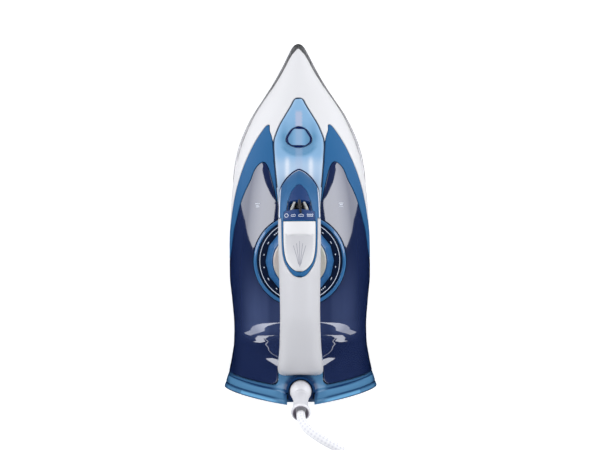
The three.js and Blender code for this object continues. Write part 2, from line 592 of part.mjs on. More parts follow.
const screwHole = (x) => cylinder(3.6, -1, 6, { sides: 12, frame: alongY(x, heelScrewZ) });
const screwHoles = heelScrews.map(([, x]) => screwHole(x));
const heelPiece = cut(join(heelOuter, tongueSolid), heelInner, notch, ...screwHoles);
part("heel_cover", largest(heelPiece), "heelBlue", 0.15);
for (const [name, x] of heelScrews) {
  const head = cylinder(3.1, 1, 3.4, { sides: 12, frame: alongY(x, heelScrewZ) });
  const shank = cylinder(1.5, 3, 11.5, { sides: 8, frame: alongY(x, heelScrewZ) });
  part(name, join(head, shank), "steel", 0.3, 0.9);
}

// ---------- cord entry: ball, seat and bend guard ----------
const ballAt = (shape) => {
  shape.translate(0, BALL.y, BALL.z);
  return solid(shape);
};
const ball = ballAt(new THREE.SphereGeometry(BALL.radius, 14, 8));
const seatBlock = box(-9.4, 9.4, BALL.y - 7, BALL.y + 7, 84, 97);
const seatCup = ballAt(new THREE.SphereGeometry(BALL.radius + 0.5, 14, 8));
part("cord_ball_seat", cut(seatBlock, seatCup), "heelBlue", 0.4);
const guardFrame = new THREE.Matrix4()
  .makeTranslation(0, BALL.y, BALL.z)
  .multiply(new THREE.Matrix4().makeRotationX(((90 - GUARD.elevation) * Math.PI) / 180));
const guardProfile = [
  [0, BALL.radius - 1], [GUARD.neck, BALL.radius - 1], [GUARD.neck, 22], [GUARD.neck + 0.6, 26],
  [GUARD.mouth - 0.2, 29.5], [GUARD.mouth, 31.6], [GUARD.mouth - 0.9, GUARD.length], [0, GUARD.length],
];
const guardClear = ballAt(new THREE.SphereGeometry(BALL.radius + 0.3, 14, 8));
part("cord_ball", ball, "white", 0.4);
part("cord_guard", cut(turned(guardProfile, 14, { frame: guardFrame }), guardClear), "white", 0.4);

// ---------- inside the rear: terminal block and its wires ----------
part("terminal_block", box(-14, 14, -126, -113, 50, 66), "ceramic", 0.6);
for (const [name, side] of [["live_wire", 1], ["neutral_wire", -1]]) {
  const route = [[9, -119.5, 49.6], [12, -118, 36], [20, -113, 22], [28, -105, 18.4], [31.2, -98, 18.5]];
  const path = route.map(([x, y, z]) => new THREE.Vector3(side * x, y, z));
  part(name, tube(path, 1.2, 6, 10), "rubber", 0.7);
}
for (const [name, y] of [["casting_screw_front", 60], ["casting_screw_rear", -97]])
  part(name, cylinder(3, 15.3, 18.6, { y, sides: 10 }), "steel", 0.3, 0.9);

// ---------- power cord: over to the floor, then coiled for storage, with its plug ----------
const points = (list) => list.map(([x, y, z]) => new THREE.Vector3(x, y, z));
const cordRoute = points([
  [0, -145.9, 134.1], [0.6, -148.8, 140.6], [4.2, -153.5, 147.2], [10.8, -158, 151], [17.5, -162, 152],
  [25, -166.5, 150.5], [32, -172.5, 146], [37, -179, 137], [40.5, -185, 122], [44, -191.5, 103],
  [47.5, -198.5, 83], [51.5, -206.5, 64], [57.5, -215.5, 46.5], [66, -224.5, 32], [76, -232.5, 23],
]);
part("cord", tube(cordRoute, CORD_RADIUS, 8, 22), "cord", 0.8);
const COIL = { x: 54, y: -263, inside: 26.8, outside: 47.4, top: 18.4 };
const coilSection = (grow) => [
  [COIL.inside + 4 - grow, 0.2 - grow], [COIL.outside - 4 + grow, 0.2 - grow],
  [COIL.outside + grow, 4], [COIL.outside + grow, COIL.top - 5],
  [COIL.outside - 5, COIL.top + grow], [COIL.inside + 5, COIL.top + grow],
  [COIL.inside - grow, COIL.top - 5], [COIL.inside - grow, 4],
];
part("cord_coil", turned(coilSection(0), 20, COIL), "cord", 0.8);
const tieFrame = new THREE.Matrix4()
  .makeTranslation(COIL.x, COIL.y, 0)
  .multiply(new THREE.Matrix4().makeRotationZ(Math.PI));
const tieBand = box(COIL.inside - 1.6, COIL.outside + 1.6, -4.5, 4.5, 0.1, COIL.top + 1.6, tieFrame);
part("coil_tie", largest(cut(tieBand, turned(coilSection(0.3), 20, COIL))), "black", 0.7);
const tailRoute = points([
  [23.5, -304.5, 3.7], [15, -305, 4.1], [6, -303.6, 6.8], [-1.4, -300.8, 12.4], [-6.8, -297.2, 17.2],
  [-11.6, -293.2, 18.4],
]);
part("cord_tail", tube(tailRoute, CORD_RADIUS, 8, 8), "cord", 0.8);
const PLUG = { x: -12.6, y: -292.4, z: 18.6, heading: 50, radius: 18.2, face: 52, pin: 19, spacing: 19 };
const plugFrame = new THREE.Matrix4()
  .makeTranslation(PLUG.x, PLUG.y, PLUG.z)
  .multiply(new THREE.Matrix4().makeRotationZ((PLUG.heading * Math.PI) / 180))
  .multiply(new THREE.Matrix4().makeRotationX(-Math.PI / 2));
const plugProfile = [
  [0, 0], [5, 0], [6.5, 16], [11, 19], [15.5, 26], [17.4, 34],
  [PLUG.radius, 38], [PLUG.radius, PLUG.face - 1],
  [PLUG.radius - 1, PLUG.face], [0, PLUG.face],
];
part("plug_body", turned(plugProfile, 20, { frame: plugFrame }), "white", 0.4);
for (const [name, side] of [["plug_pin_right", 1], ["plug_pin_left", -1]]) {
  const at = { x: (side * PLUG.spacing) / 2, sides: 10, topRadius: 2, frame: plugFrame };
  part(name, cylinder(2.4, PLUG.face + 0.3, PLUG.face + PLUG.pin, at), "brass", 0.25, 0.9);
}

export default group;
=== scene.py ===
"""Looks for a household steam iron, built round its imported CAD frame.

The iron lies on its soleplate: +X is across, +Y points to the nose and +Z is up.
Shapes are worked out in millimetres, the CAD's own unit, and become metres when a mesh is made.
"""

import math

import bmesh
import bpy
import numpy as np
from mathutils import Matrix, Vector
from mathutils.geometry import delaunay_2d_cdt


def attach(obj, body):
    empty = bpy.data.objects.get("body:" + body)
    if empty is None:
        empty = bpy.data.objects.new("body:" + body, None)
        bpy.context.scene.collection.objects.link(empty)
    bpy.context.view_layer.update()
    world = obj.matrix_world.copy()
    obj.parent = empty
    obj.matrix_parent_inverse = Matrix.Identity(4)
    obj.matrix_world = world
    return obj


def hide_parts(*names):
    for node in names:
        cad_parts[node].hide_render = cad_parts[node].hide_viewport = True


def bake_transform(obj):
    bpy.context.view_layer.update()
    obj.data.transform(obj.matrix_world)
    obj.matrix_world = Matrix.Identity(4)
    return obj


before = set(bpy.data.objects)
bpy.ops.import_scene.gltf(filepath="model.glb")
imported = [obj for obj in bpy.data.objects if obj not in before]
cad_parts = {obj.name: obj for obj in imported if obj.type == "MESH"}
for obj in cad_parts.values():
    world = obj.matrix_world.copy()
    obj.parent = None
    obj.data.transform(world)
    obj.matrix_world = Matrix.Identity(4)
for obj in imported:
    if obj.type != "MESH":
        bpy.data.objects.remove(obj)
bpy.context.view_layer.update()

MM = 0.001
TURN = 2 * math.pi
HALF_TURN = math.pi
QUARTER_TURN = math.pi / 2
SIDES = (("right", 1), ("left", -1))

# ---------- driving dimensions, as in the CAD ----------
HEEL_Y = -145.0
NOSE_Y = 145.0
SOLE_TOP = 4.0
SKIRT_BOTTOM = 4.6
WALL = 2.4
GAP = 0.4
SEAM_HALF = GAP / 2
WALL_SHARE = 0.15
DECK_Z = 106.0
TANK_REAR_Y = -131.5
COVER_NOSE_Y = 140.0
DIAL_Y = -39.0
DIAL_FLOOR = 43.2
COLLAR_RADIUS = 37.4
DIAL_RADIUS = 34.0
BALL = Vector((0, -135, 102.5))
BALL_RADIUS = 8.2
CORD_RADIUS = 3.25


# ---------- smooth tracks: a value that follows a list of stations ----------
def track(*stations):
    """Monotone cubic interpolation between (station, value) pairs, held constant past both ends."""
    place, value = np.array(sorted(stations), float).T
    slope = np.diff(value) / np.diff(place)
    tangent = np.concatenate([slope[:1], slope[1:], slope[-1:]])
    before, after = slope[:-1], slope[1:]
    total = np.where(before + after == 0, 1, before + after)
    tangent[1:-1] = np.where(before * after > 0, 2 * before * after / total, 0)

    def value_at(x):
        x = np.clip(np.asarray(x, float), place[0], place[-1])
        i = np.clip(np.searchsorted(place, x) - 1, 0, len(place) - 2)
        step = place[i + 1] - place[i]
        t = (x - place[i]) / step
        rest = 1 - t
        ends = (1 + 2 * t) * rest**2 * value[i] + t**2 * (3 - 2 * t) * value[i + 1]
        return ends + step * (t * rest**2 * tangent[i] - t**2 * rest * tangent[i + 1])

    return value_at


def smoothstep(t):
    t = np.clip(t, 0, 1)
    return t * t * (3 - 2 * t)


def unit(vectors):
    return vectors / np.maximum(np.linalg.norm(vectors, axis=-1), 1e-12)[..., None]


def run_length(points):
    """How far along a polyline each of its points lies."""
    return np.concatenate([[0], np.cumsum(np.linalg.norm(np.diff(points, axis=0), axis=1))])


def points_at(points, length, steps):
    """The points of a polyline at given distances along it."""
    return np.stack([np.interp(steps, length, column) for column in points.T], -1)


# ---------- the body's outer form, station by station along Y ----------
half_width = track(
    (140.2, 0.8), (134.6, 5.6), (121.8, 12.4), (109, 20), (96.3, 28.7), (83.5, 36.8), (70.7, 43),
    (58, 47.9), (45.2, 51.7), (30, 55), (10.7, 57.3), (-30.9, 58.9), (-51.6, 58.8), (-72.4, 56.9),
    (-95, 55.3), (-106, 55.5), (-118, 57.1), (-130.5, 59.6), (-145, 63.9),
)
edge_height = track((140, 6.4), (100, 10), (60, 13), (30, 16), (-40, 18), (-100, 20), (-145, 22.8))
crown_height = track(
    (140.2, 7.2), (130, 14), (110, 24.5), (95, 31), (80, 36), (60, 41), (40, 45), (10, 47), (-88, 47),
    (-97, 51), (-104, 62.5), (-107, 69), (-115, 87), (-124, 101), (-134, 110), (-145, 112),
)
crown_power = track(
    (140, 1.9), (95, 2), (60, 2.4), (20, 3.4), (-39, 4.2), (-80, 3.4), (-105, 1.9), (-125, 1.4), (-145, 1.3)
)
flank_power = track((140, 0.6), (60, 0.55), (-39, 0.5), (-90, 0.55), (-120, 0.7), (-145, 0.75))
sole_half_width = track(
    (145, 0.2), (144.2, 2.6), (142.3, 4.6), (135.4, 8.6), (122.6, 15.1), (109.8, 22.4), (96.9, 30.8),
    (84.1, 39.3), (71.2, 46), (58.4, 51.1), (45.5, 54.4), (28.4, 56.6), (0, 57.4), (-40, 57.6),
    (-90, 54.4), (-110, 54), (-130, 56.5), (-136, 56.4), (-139.5, 54),
)


def body_point(y, s, inset=0.0):
    """A point of the section at y: s runs from 0 at the right foot over the crown at 1 to 2 at the left."""
    y, s, inset = np.broadcast_arrays(np.asarray(y, float), np.asarray(s, float), np.asarray(inset, float))
    side = np.where(s > 1, -1.0, 1.0)
    t = np.where(s > 1, 2 - s, s)
    width = np.maximum(half_width(y) - inset, 0.4)
    edge = edge_height(y)
    angle = QUARTER_TURN * np.clip((t - WALL_SHARE) / (1 - WALL_SHARE), 0, 1)
    across = width * np.maximum(np.cos(angle), 0) ** (2 / crown_power(y))
    rise = np.sin(angle) ** (2 * flank_power(y))
    crown = np.minimum(edge + (crown_height(y) - inset - edge) * rise, DECK_Z - inset)
    on_wall = t < WALL_SHARE
    x = np.where(on_wall, width, across)
    z = np.where(on_wall, SKIRT_BOTTOM + (edge - SKIRT_BOTTOM) * t / WALL_SHARE, crown)
    return np.stack([side * x, y, z], -1)


def parameter_at(x, y):
    """The section parameter of a plan point, on the side that its x says."""
    share = np.clip(np.abs(x) / half_width(y), 0, 1)
    angle = np.arccos(np.clip(share ** (crown_power(y) / 2), 0, 1))
    s = WALL_SHARE + (1 - WALL_SHARE) * angle / QUARTER_TURN
    return np.where(np.asarray(x) < 0, 2 - s, s)


def body_top(x, y, inset=0.0):
    share = np.minimum(np.abs(x) / np.maximum(half_width(y) - inset, 0.4), 1)
    edge = edge_height(y)
    rise = (1 - share ** crown_power(y)) ** flank_power(y)
    return np.minimum(edge + (crown_height(y) - inset - edge) * rise, DECK_Z - inset)


# ---------- the handle: rings between an outer line and an inner line of the side view ----------
HANDLE_LENGTH = 262.0
HANDLE_LINES = (
    # share along the handle, outer y, outer z, inner y, inner z, half-width, outer power
    (0, 36, 38, 1.5, 38, 14.6, 1.4),
    (0.12, 31.5, 60, 0.2, 60, 15.6, 1.5),
    (0.25, 22.5, 84, -6.5, 78, 15.9, 1.7),
    (0.37, 7.5, 108.5, -16, 92, 16, 2),
    (0.48, -16, 128.5, -32, 100, 15.8, 2.4),
    (0.6, -45, 139.5, -50, 103, 15.1, 2.6),
    (0.72, -75, 140.5, -72, 102.5, 14.6, 2.6),
    (0.84, -103, 131.5, -92, 96, 15.3, 2.8),
    (0.93, -118, 116, -103, 84, 16.6, 4),
    (1, -124.5, 96, -106, 66, 17.5, 6),
)
outer_y, outer_z, inner_y, inner_z, grip_width, grip_power = (
    track(*[(row[0], row[k]) for row in HANDLE_LINES]) for k in range(1, 7)
)
INNER_POWER = 2.4
SEAM_ANGLE = 0.014


def handle_point(u, angle, inset=0.0):
    """A point of the handle's skin: u runs along it, and the angle round it, over the outer line."""
    u, angle, inset = np.broadcast_arrays(
        np.asarray(u, float), np.asarray(angle, float), np.asarray(inset, float)
    )
    outer = np.stack([outer_y(u), outer_z(u)], -1)
    inner = np.stack([inner_y(u), inner_z(u)], -1)
    reach = (outer - inner) / 2
    length = np.linalg.norm(reach, axis=-1)
    power = 2 / np.where(np.sin(angle) >= 0, grip_power(u), INNER_POWER)
    x = (grip_width(u) - inset) * np.sign(np.cos(angle)) * np.abs(np.cos(angle)) ** power
    rise = (length - inset) / length * np.sign(np.sin(angle)) * np.abs(np.sin(angle)) ** power
    centre = (outer + inner) / 2 + reach * rise[..., None]
    return np.stack([x, centre[..., 0], centre[..., 1]], -1)


def angle_at(x, u):
    """The angle on the outer side of the ring at u where the handle is |x| wide, on x's side."""
    angle = np.arccos(np.clip(np.abs(x) / grip_width(u), 0, 1) ** (grip_power(u) / 2))
    return np.where(np.asarray(x) < 0, HALF_TURN - angle, angle)


def bisect(rising, low, high, rounds=40):
    """The value between low and high at which a rising function is zero, for a whole array at once."""
    low, high = np.array(low, float), np.array(high, float)
    for _ in range(rounds):
        middle = (low + high) / 2
        above = rising(middle) > 0
        high = np.where(above, middle, high)
        low = np.where(above, low, middle)
    return (low + high) / 2


def tilted(y, z, degrees):
    """A frame on the handle whose Z axis leans forward by the angle: its seat, Y axis and Z axis."""
    lean = math.radians(degrees)
    along = np.array([0, math.cos(lean), -math.sin(lean)])
    out = np.array([0, math.sin(lean), math.cos(lean)])
    return np.array([0.0, y, z]), along, out


PLAN = (np.zeros(3), np.array([0.0, 1.0, 0.0]), np.array([0.0, 0.0, 1.0]))
WINDOW_FRAME = tilted(5.5, 110.6, 43)


UPPER_RUN = (0.05, 0.9)  # the shares of the handle that its upper side is searched over


def on_handle(x, v, view=PLAN):
    """(u, angle) of the outer skin's point that lies at x and v in a frame."""
    seat, along, _ = view

    def behind(u):
        return v - (handle_point(u, angle_at(x, u)) - seat) @ along

    u = bisect(behind, *(np.full_like(x, share) for share in UPPER_RUN))
    return np.stack([u, angle_at(x, u)], -1)


# ---------- skins: a surface unrolled flat, on which its mouldings are laid out ----------
class Skin:
    """A surface point(along, across, inset), unrolled so that lengths along and across it stay true."""

    def __init__(self, point, samples, middle, stretch):
        self.point = point
        self.samples = samples
        self.middle = middle
        self.stretch = stretch

    def arcs(self, along):
        line = self.point(along[:, None], self.samples[None, :])
        step = np.linalg.norm(np.diff(line, axis=1), axis=2)
        total = np.concatenate([np.zeros((len(along), 1)), np.cumsum(step, axis=1)], axis=1)
        return total - total[:, self.middle : self.middle + 1]

    def unroll(self, places):
        """(along, across) pairs to flat (arc, length) pairs."""
        along, across = np.asarray(places, float).T
        arcs = self.arcs(along)
        k = np.clip(np.searchsorted(self.samples, across) - 1, 0, len(self.samples) - 2)
        t = (across - self.samples[k]) / (self.samples[k + 1] - self.samples[k])
        row = np.arange(len(along))
        arc = arcs[row, k] + t * (arcs[row, k + 1] - arcs[row, k])
        return np.stack([arc, along * self.stretch], -1)

    def edge(self, along, across):
        """A flat edge through places given as two arrays."""
        return self.unroll(np.stack([along, across], -1))

    def line(self, *places):
        """A flat edge through (along, across) places, in straight runs between them."""
        places = np.array(places, float)
        t = np.linspace(0, len(places) - 1, 60 * (len(places) - 1) + 1)
        k = np.minimum(t.astype(int), len(places) - 2)
        share = (t - k)[:, None]
        return self.unroll(places[k] * (1 - share) + places[k + 1] * share)

    def roll(self, flat):
        """Flat (arc, length) pairs back to along and across."""
        along, row = np.unique(flat[:, 1] / self.stretch, return_inverse=True)
        arcs = self.arcs(along)
        across = np.empty(len(flat))
        for start in range(0, len(flat), 4000):
            part = slice(start, start + 4000)
            table = arcs[row[part]]
            k = np.clip((table <= flat[part, :1]).sum(1) - 1, 0, len(self.samples) - 2)
            i = np.arange(len(k))
            width = np.maximum(table[i, k + 1] - table[i, k], 1e-9)
            t = np.clip((flat[part, 0] - table[i, k]) / width, 0, 1)
            across[part] = self.samples[k] + t * (self.samples[k + 1] - self.samples[k])
        return along[row], across


CROWN_CROWDING = 2.2
_spread = np.linspace(0, 1, 161) ** CROWN_CROWDING
BODY = Skin(body_point, np.concatenate([1 - _spread[::-1], 1 + _spread[1:]]), 160, 1.0)
HANDLE = Skin(handle_point, np.linspace(0, TURN, 361), 90, HANDLE_LENGTH)


def resample(edge, spacing):
    """A flat polyline cut into equal steps of about the spacing, without its last point."""
    length = run_length(edge)
    count = max(int(round(length[-1] / spacing)), 1)
    return points_at(edge, length, np.linspace(0, length[-1], count + 1)[:-1])


def tidy_loop(points, closest):
    """Drops points that nearly coincide with the one before them."""
    kept = [points[0]]
    for p in points[1:]:
        if np.linalg.norm(p - kept[-1]) > closest:
            kept.append(p)
    if np.linalg.norm(kept[-1] - kept[0]) <= closest:
        kept.pop()
    return np.array(kept)


def measure(points, loops, reach=6.0):
    """For each flat point: whether it is inside the loops, its distance from them up to reach, the
    number of the nearest edge and the share along that edge."""
    a = np.concatenate(loops)
    b = np.concatenate([np.roll(loop, -1, axis=0) for loop in loops])
    inside = np.zeros(len(points), bool)
    distance = np.full(len(points), reach)
    nearest = np.zeros(len(points), int)
    share = np.zeros(len(points))
    order = np.argsort(points[:, 1])
    for start in range(0, len(points), 400):
        rows = order[start : start + 400]
        q = points[rows][:, None]
        low, high = q[..., 1].min() - reach, q[..., 1].max() + reach
        ends_low, ends_high = np.minimum(a[:, 1], b[:, 1]), np.maximum(a[:, 1], b[:, 1])
        near = np.flatnonzero((ends_low < high) & (ends_high > low))
        if not len(near):
            continue
        sa, sb = a[near][None], b[near][None]
        straddles = (sa[..., 1] > q[..., 1]) != (sb[..., 1] > q[..., 1])
        rise = np.where(sb[..., 1] == sa[..., 1], 1e-12, sb[..., 1] - sa[..., 1])
        cross = sa[..., 0] + (q[..., 1] - sa[..., 1]) * (sb[..., 0] - sa[..., 0]) / rise
        inside[rows] = (straddles & (q[..., 0] < cross)).sum(1) % 2 == 1
        d = sb - sa
        t = np.clip(((q - sa) * d).sum(-1) / np.maximum((d * d).sum(-1), 1e-12), 0, 1)
        gap = np.linalg.norm(q - sa - d * t[..., None], axis=-1)
        best = gap.argmin(1)
        line = np.arange(len(rows))
        distance[rows] = np.minimum(gap[line, best], reach)
        nearest[rows] = near[best]
        share[rows] = t[line, best]
    return inside, distance, nearest, share


def outward_normals(loops):
    """The flat outward direction at each corner of the loops; every loop after the first is a hole."""
    made = []
    for number, loop in enumerate(loops):
        along = unit(np.roll(loop, -1, axis=0) - loop) + unit(loop - np.roll(loop, 1, axis=0))
        normal = unit(np.stack([along[:, 1], -along[:, 0]], -1))
        area = (loop[:, 0] * np.roll(loop[:, 1], -1) - np.roll(loop[:, 0], -1) * loop[:, 1]).sum()
        made.append(normal * (1 if (area > 0) == (number == 0) else -1))
    return made


def ring_points(loop, loops, distance):
    """Points at a distance inside a loop, where there is room for them."""
    normal = outward_normals([loop])[0]
    made = np.concatenate([loop + normal * distance, loop - normal * distance])
    inside, clear, _, _ = measure(made, loops)
    return made[inside & (clear > 0.8 * distance)]


def triangulate(loops, rings, pitch):
    """Flat vertices and triangles that fill the loops, with the extra rings near the edge."""
    low = np.min([loop.min(0) for loop in loops], axis=0)
    high = np.max([loop.max(0) for loop in loops], axis=0)
    ys = np.arange(low[1] + pitch / 2, high[1], pitch * 0.87)
    xs = np.arange(low[0] + pitch / 4, high[0], pitch)
    inner = np.array([(x + pitch / 2 * (i % 2), y) for i, y in enumerate(ys) for x in xs]).reshape(-1, 2)
    inside, clear, _, _ = measure(inner, loops)
    inner = inner[inside & (clear > max(0.45 * pitch, 1.3 * max(rings, default=0)))]
    ringed = [ring_points(loop, loops, r) for loop in loops for r in rings]
    points = np.concatenate([*loops, *ringed, inner])
    edges, start = [], 0
    for loop in loops:
        n = len(loop)
        edges += [(start + i, start + (i + 1) % n) for i in range(n)]
        start += n
    made = delaunay_2d_cdt([Vector(p) for p in points], edges, [], 0, 1e-6)
    flat = np.array([tuple(v) for v in made[0]])
    faces = np.array([f for f in made[2] if len(f) == 3])
    keep = measure(flat[faces].mean(1), loops)[0]
    return flat, faces[keep]


def boundary_edges(faces):
    """Directed edges that belong to one triangle only."""
    seen = dict.fromkeys((a, b) for f in faces for a, b in ((f[0], f[1]), (f[1], f[2]), (f[2], f[0])))
    return [(a, b) for a, b in seen if (b, a) not in seen]


def slab(top, low, faces):
    """A closed shell between two layers that share their flat triangles."""
    count = len(top)
    made = [tuple(f) for f in faces] + [(f[2] + count, f[1] + count, f[0] + count) for f in faces]
    made += [(b, a, a + count, b + count) for a, b in boundary_edges(faces)]
    return np.concatenate([top, low]), made


def bar(rings):
    """A closed bar between four lines of points that run side by side."""
    count = len(rings[0])
    faces = [tuple(k * count for k in range(4)), tuple(k * count + count - 1 for k in range(4))[::-1]]
    for k in range(4):
        for i in range(count - 1):
            a, b = k * count + i, (k + 1) % 4 * count + i
            faces.append((a, a + 1, b + 1, b))
    return np.concatenate(rings), faces


EDGE_STEPS = (0.1, 0.35, 1.0)


def roundover(distance, radius):
    """How far a rounded edge has dropped at a distance from the rim."""
    share = np.clip(1 - distance / radius, 0, 1)
    return radius * (1 - np.sqrt(1 - share**2))


NUDGE = 0.05


def panel(skin, loops, top=0.0, thickness=WALL, radius=0.45, pitch=2.2, spacing=1.0, relief=None):
    """A closed moulding with rounded edges, over loops of a skin: its points, faces and corner normals.

    Each loop is a list of flat edges. The outer face lies top under the skin, or over it where top is
    negative, and relief(points, distance) sinks it further.
    """
    cut = [np.concatenate([resample(edge, spacing) for edge in loop]) for loop in loops]
    flat_loops = [tidy_loop(loop, 0.12 * spacing) for loop in cut]
    rings = [radius * share for share in EDGE_STEPS]
    flat, faces = triangulate(flat_loops, rings, pitch)
    used = np.unique(faces)
    index = np.full(len(flat), -1)
    index[used] = np.arange(len(used))
    flat, faces = flat[used], index[faces]
    _, distance, nearest, share = measure(flat, flat_loops)

    def surface(places, drop=0.0):
        along, across = skin.roll(places)
        sunk = top + drop
        if relief is not None:
            sunk = sunk + relief(skin.point(along, across, top), distance)
        return skin.point(along, across, sunk)

    outer = surface(flat, roundover(distance, radius))
    inner = skin.point(*skin.roll(flat), top + thickness)
    right = surface(flat + (NUDGE, 0)) - surface(flat - (NUDGE, 0))
    onward = surface(flat + (0, NUDGE)) - surface(flat - (0, NUDGE))
    normal = unit(np.cross(right, onward))
    normal *= np.where(((outer - inner) * normal).sum(1) < 0, -1, 1)[:, None]
    corner = np.concatenate(outward_normals(flat_loops))
    after = np.concatenate([np.roll(n, -1, axis=0) for n in outward_normals(flat_loops)])
    lean = corner[nearest] * (1 - share)[:, None] + after[nearest] * share[:, None]
    edgeward = unit(unit(right) * lean[:, :1] + unit(onward) * lean[:, 1:])
    tilt = np.clip(1 - distance / radius, 0, 1)
    rounded_normal = unit(normal * np.sqrt(1 - tilt**2)[:, None] + edgeward * tilt[:, None])
    return closed_shell(outer, inner, faces, rounded_normal, normal, edgeward)


def closed_shell(outer, inner, faces, outer_normal, normal, edgeward):
    """Joins an outer and an inner face along their rims."""
    a, b, c = (outer[faces[:, k]] for k in range(3))
    if (np.cross(b - a, c - a) * normal[faces[:, 0]]).sum() < 0:
        faces = faces[:, ::-1]
    count = len(outer)
    made = [tuple(f) for f in faces]
    corners = [outer_normal[list(f)] for f in made]
    back = [tuple(f[::-1] + count) for f in faces]
    corners += [-normal[[i - count for i in f]] for f in back]
    rim = [(b, a, a + count, b + count) for a, b in boundary_edges(faces)]
    corners += [edgeward[[f[0], f[1], f[1], f[0]]] for f in rim]
    return np.concatenate([outer, inner]), made + back + rim, np.concatenate(corners)


# ---------- pieces ----------
def shape_of(work):
    """The points and faces of a bmesh, which is freed."""
    work.verts.index_update()
    points = np.array([tuple(v.co) for v in work.verts])
    faces = [tuple(v.index for v in f.verts) for f in work.faces]
    work.free()
    return points, faces


def facing_out(points, faces):
    """The same faces, each turned outward."""
    work = bmesh.new()
    verts = [work.verts.new(p) for p in points]
    for f in faces:
        work.faces.new([verts[i] for i in f])
    bmesh.ops.recalc_face_normals(work, faces=work.faces)
    return shape_of(work)[1]


def added(name, data):
    """A new object in the scene."""
    made = bpy.data.objects.new(name, data)
    bpy.context.scene.collection.objects.link(made)
    return made


def mesh_object(name, points, faces, material):
    """A new mesh in the scene, its points in metres."""
    mesh = bpy.data.meshes.new(name)
    mesh.from_pydata(points, [], faces)
    mesh.materials.append(material)
    return added(name, mesh)


def piece(name, shape, material, body, replaces=(), crease=50):
    """A mesh of one or more closed shells, in millimetres, that rides on a body."""
    shells = [shape] if isinstance(shape, tuple) else list(shape)
    points, faces, normals = [], [], []
    for shell in shells:
        shell_points = np.asarray(shell[0], float) * MM
        shell_faces = shell[1] if len(shell) == 3 else facing_out(shell_points, shell[1])
        faces += [tuple(int(i) + len(points) for i in f) for f in shell_faces]
        points += [tuple(p) for p in shell_points]
        corners = sum(len(f) for f in shell_faces)
        normals.append(shell[2] if len(shell) == 3 else np.zeros((corners, 3)))
    made = mesh_object(name, points, faces, material)
    made.data.shade_smooth()
    made.data.set_sharp_from_angle(angle=math.radians(crease))
    if any(len(shell) == 3 for shell in shells):
        made.data.normals_split_custom_set(np.concatenate(normals).tolist())
    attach(made, body)
    if replaces:
        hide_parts(*replaces)
    return made


def paint(made, name, value_at):
    """Stores a number for each vertex, worked out from its place in millimetres."""
    x, y, z = np.array([v.co for v in made.data.vertices], float).T / MM
    attribute = made.data.attributes.new(name, "FLOAT", "POINT")
    attribute.data.foreach_set("value", np.broadcast_to(value_at(x, y, z), x.shape).astype(np.float32))


def rounded(profile, radius, steps=4, closed=False):
    """A polyline with each inner corner turned into a small arc."""
    points = [np.array(p, float) for p in profile]
    count = len(points)
    made = []
    for i, p in enumerate(points):
        if not closed and i in (0, count - 1):
            made.append(p)
            continue
        before, after = points[i - 1] - p, points[(i + 1) % count] - p
        reach = min(radius, np.linalg.norm(before) * 0.49, np.linalg.norm(after) * 0.49)
        a = p + before / np.linalg.norm(before) * reach
        b = p + after / np.linalg.norm(after) * reach
        for t in np.linspace(0, 1, steps + 1):
            made.append((1 - t) ** 2 * a + 2 * t * (1 - t) * p + t * t * b)
    return made


def lathe(profile, sides=96, matrix=None, closed=False):
    """A solid turned about Z from [radius, z] pairs: from axis to axis, or a closed ring."""
    points, rings = [], []
    for r, z in profile:
        if r < 1e-6:
            rings.append([len(points)] * sides)
            points.append((0, 0, z))
        else:
            rings.append(list(range(len(points), len(points) + sides)))
            angles = np.arange(sides) * TURN / sides
            points += [(r * math.cos(a), r * math.sin(a), z) for a in angles]
    faces = []
    pairs = zip(rings, rings[1:] + rings[:1]) if closed else zip(rings, rings[1:])
    for low, high in pairs:
        for i in range(sides):
            j = (i + 1) % sides
            corners = []
            for k in (low[i], low[j], high[j], high[i]):
                if k not in corners:
                    corners.append(k)
            if len(corners) > 2:
                faces.append(tuple(corners))
    return placed(np.array(points, float), matrix), faces


def placed(points, matrix):
    if matrix is None:
        return points
    m = np.array(matrix, float)
    return points @ m[:3, :3].T + m[:3, 3]


def at(x=0.0, y=0.0, z=0.0):
    return Matrix.Translation((x, y, z))


def soften(work, edges, radius, steps):
    """Rounds edges of a bmesh."""
    settings = {"offset": radius, "segments": steps, "profile": 0.5, "clamp_overlap": True}
    bmesh.ops.bevel(work, geom=edges, affect="EDGES", **settings)


def block(x0, x1, y0, y1, z0, z1, matrix=None, radius=0.4, steps=3):
    """A box with rounded edges."""
    work = bmesh.new()
    bmesh.ops.create_cube(work, size=1)
    for v in work.verts:
        v.co.x = x0 if v.co.x < 0 else x1
        v.co.y = y0 if v.co.y < 0 else y1
        v.co.z = z0 if v.co.z < 0 else z1
    soften(work, list(work.edges), radius, steps)
    points, faces = shape_of(work)
    return placed(points, matrix), faces


def frames_along(path):
    """Parallel-transported side and up vectors for each point of a path."""
    tangent = unit(np.gradient(path, axis=0))
    side = np.cross(tangent[0], [0, 0, 1.0])
    sides = []
    for t in tangent:
        side = side - t * (side @ t)
        side = side / np.linalg.norm(side)
        sides.append(side)
    sides = np.array(sides)
    return sides, np.cross(tangent, sides)


def sweep_tube(path, radius, sides):
    """A closed tube along a path, of one radius or with a radius for each point and side."""
    path = np.asarray(path, float)
    side, up = frames_along(path)
    angles = np.arange(sides) * TURN / sides
    reach = radius if np.ndim(radius) == 2 else np.full((len(path), sides), radius, float)
    ring = side[:, None] * np.cos(angles)[None, :, None] + up[:, None] * np.sin(angles)[None, :, None]
    points = (path[:, None] + ring * reach[..., None]).reshape(-1, 3)
    faces = []
    for i in range(len(path) - 1):
        for j in range(sides):
            k = (j + 1) % sides
            faces.append((i * sides + j, i * sides + k, (i + 1) * sides + k, (i + 1) * sides + j))
    faces.append(tuple(range(sides))[::-1])
    faces.append(tuple((len(path) - 1) * sides + j for j in range(sides)))
    return points, faces


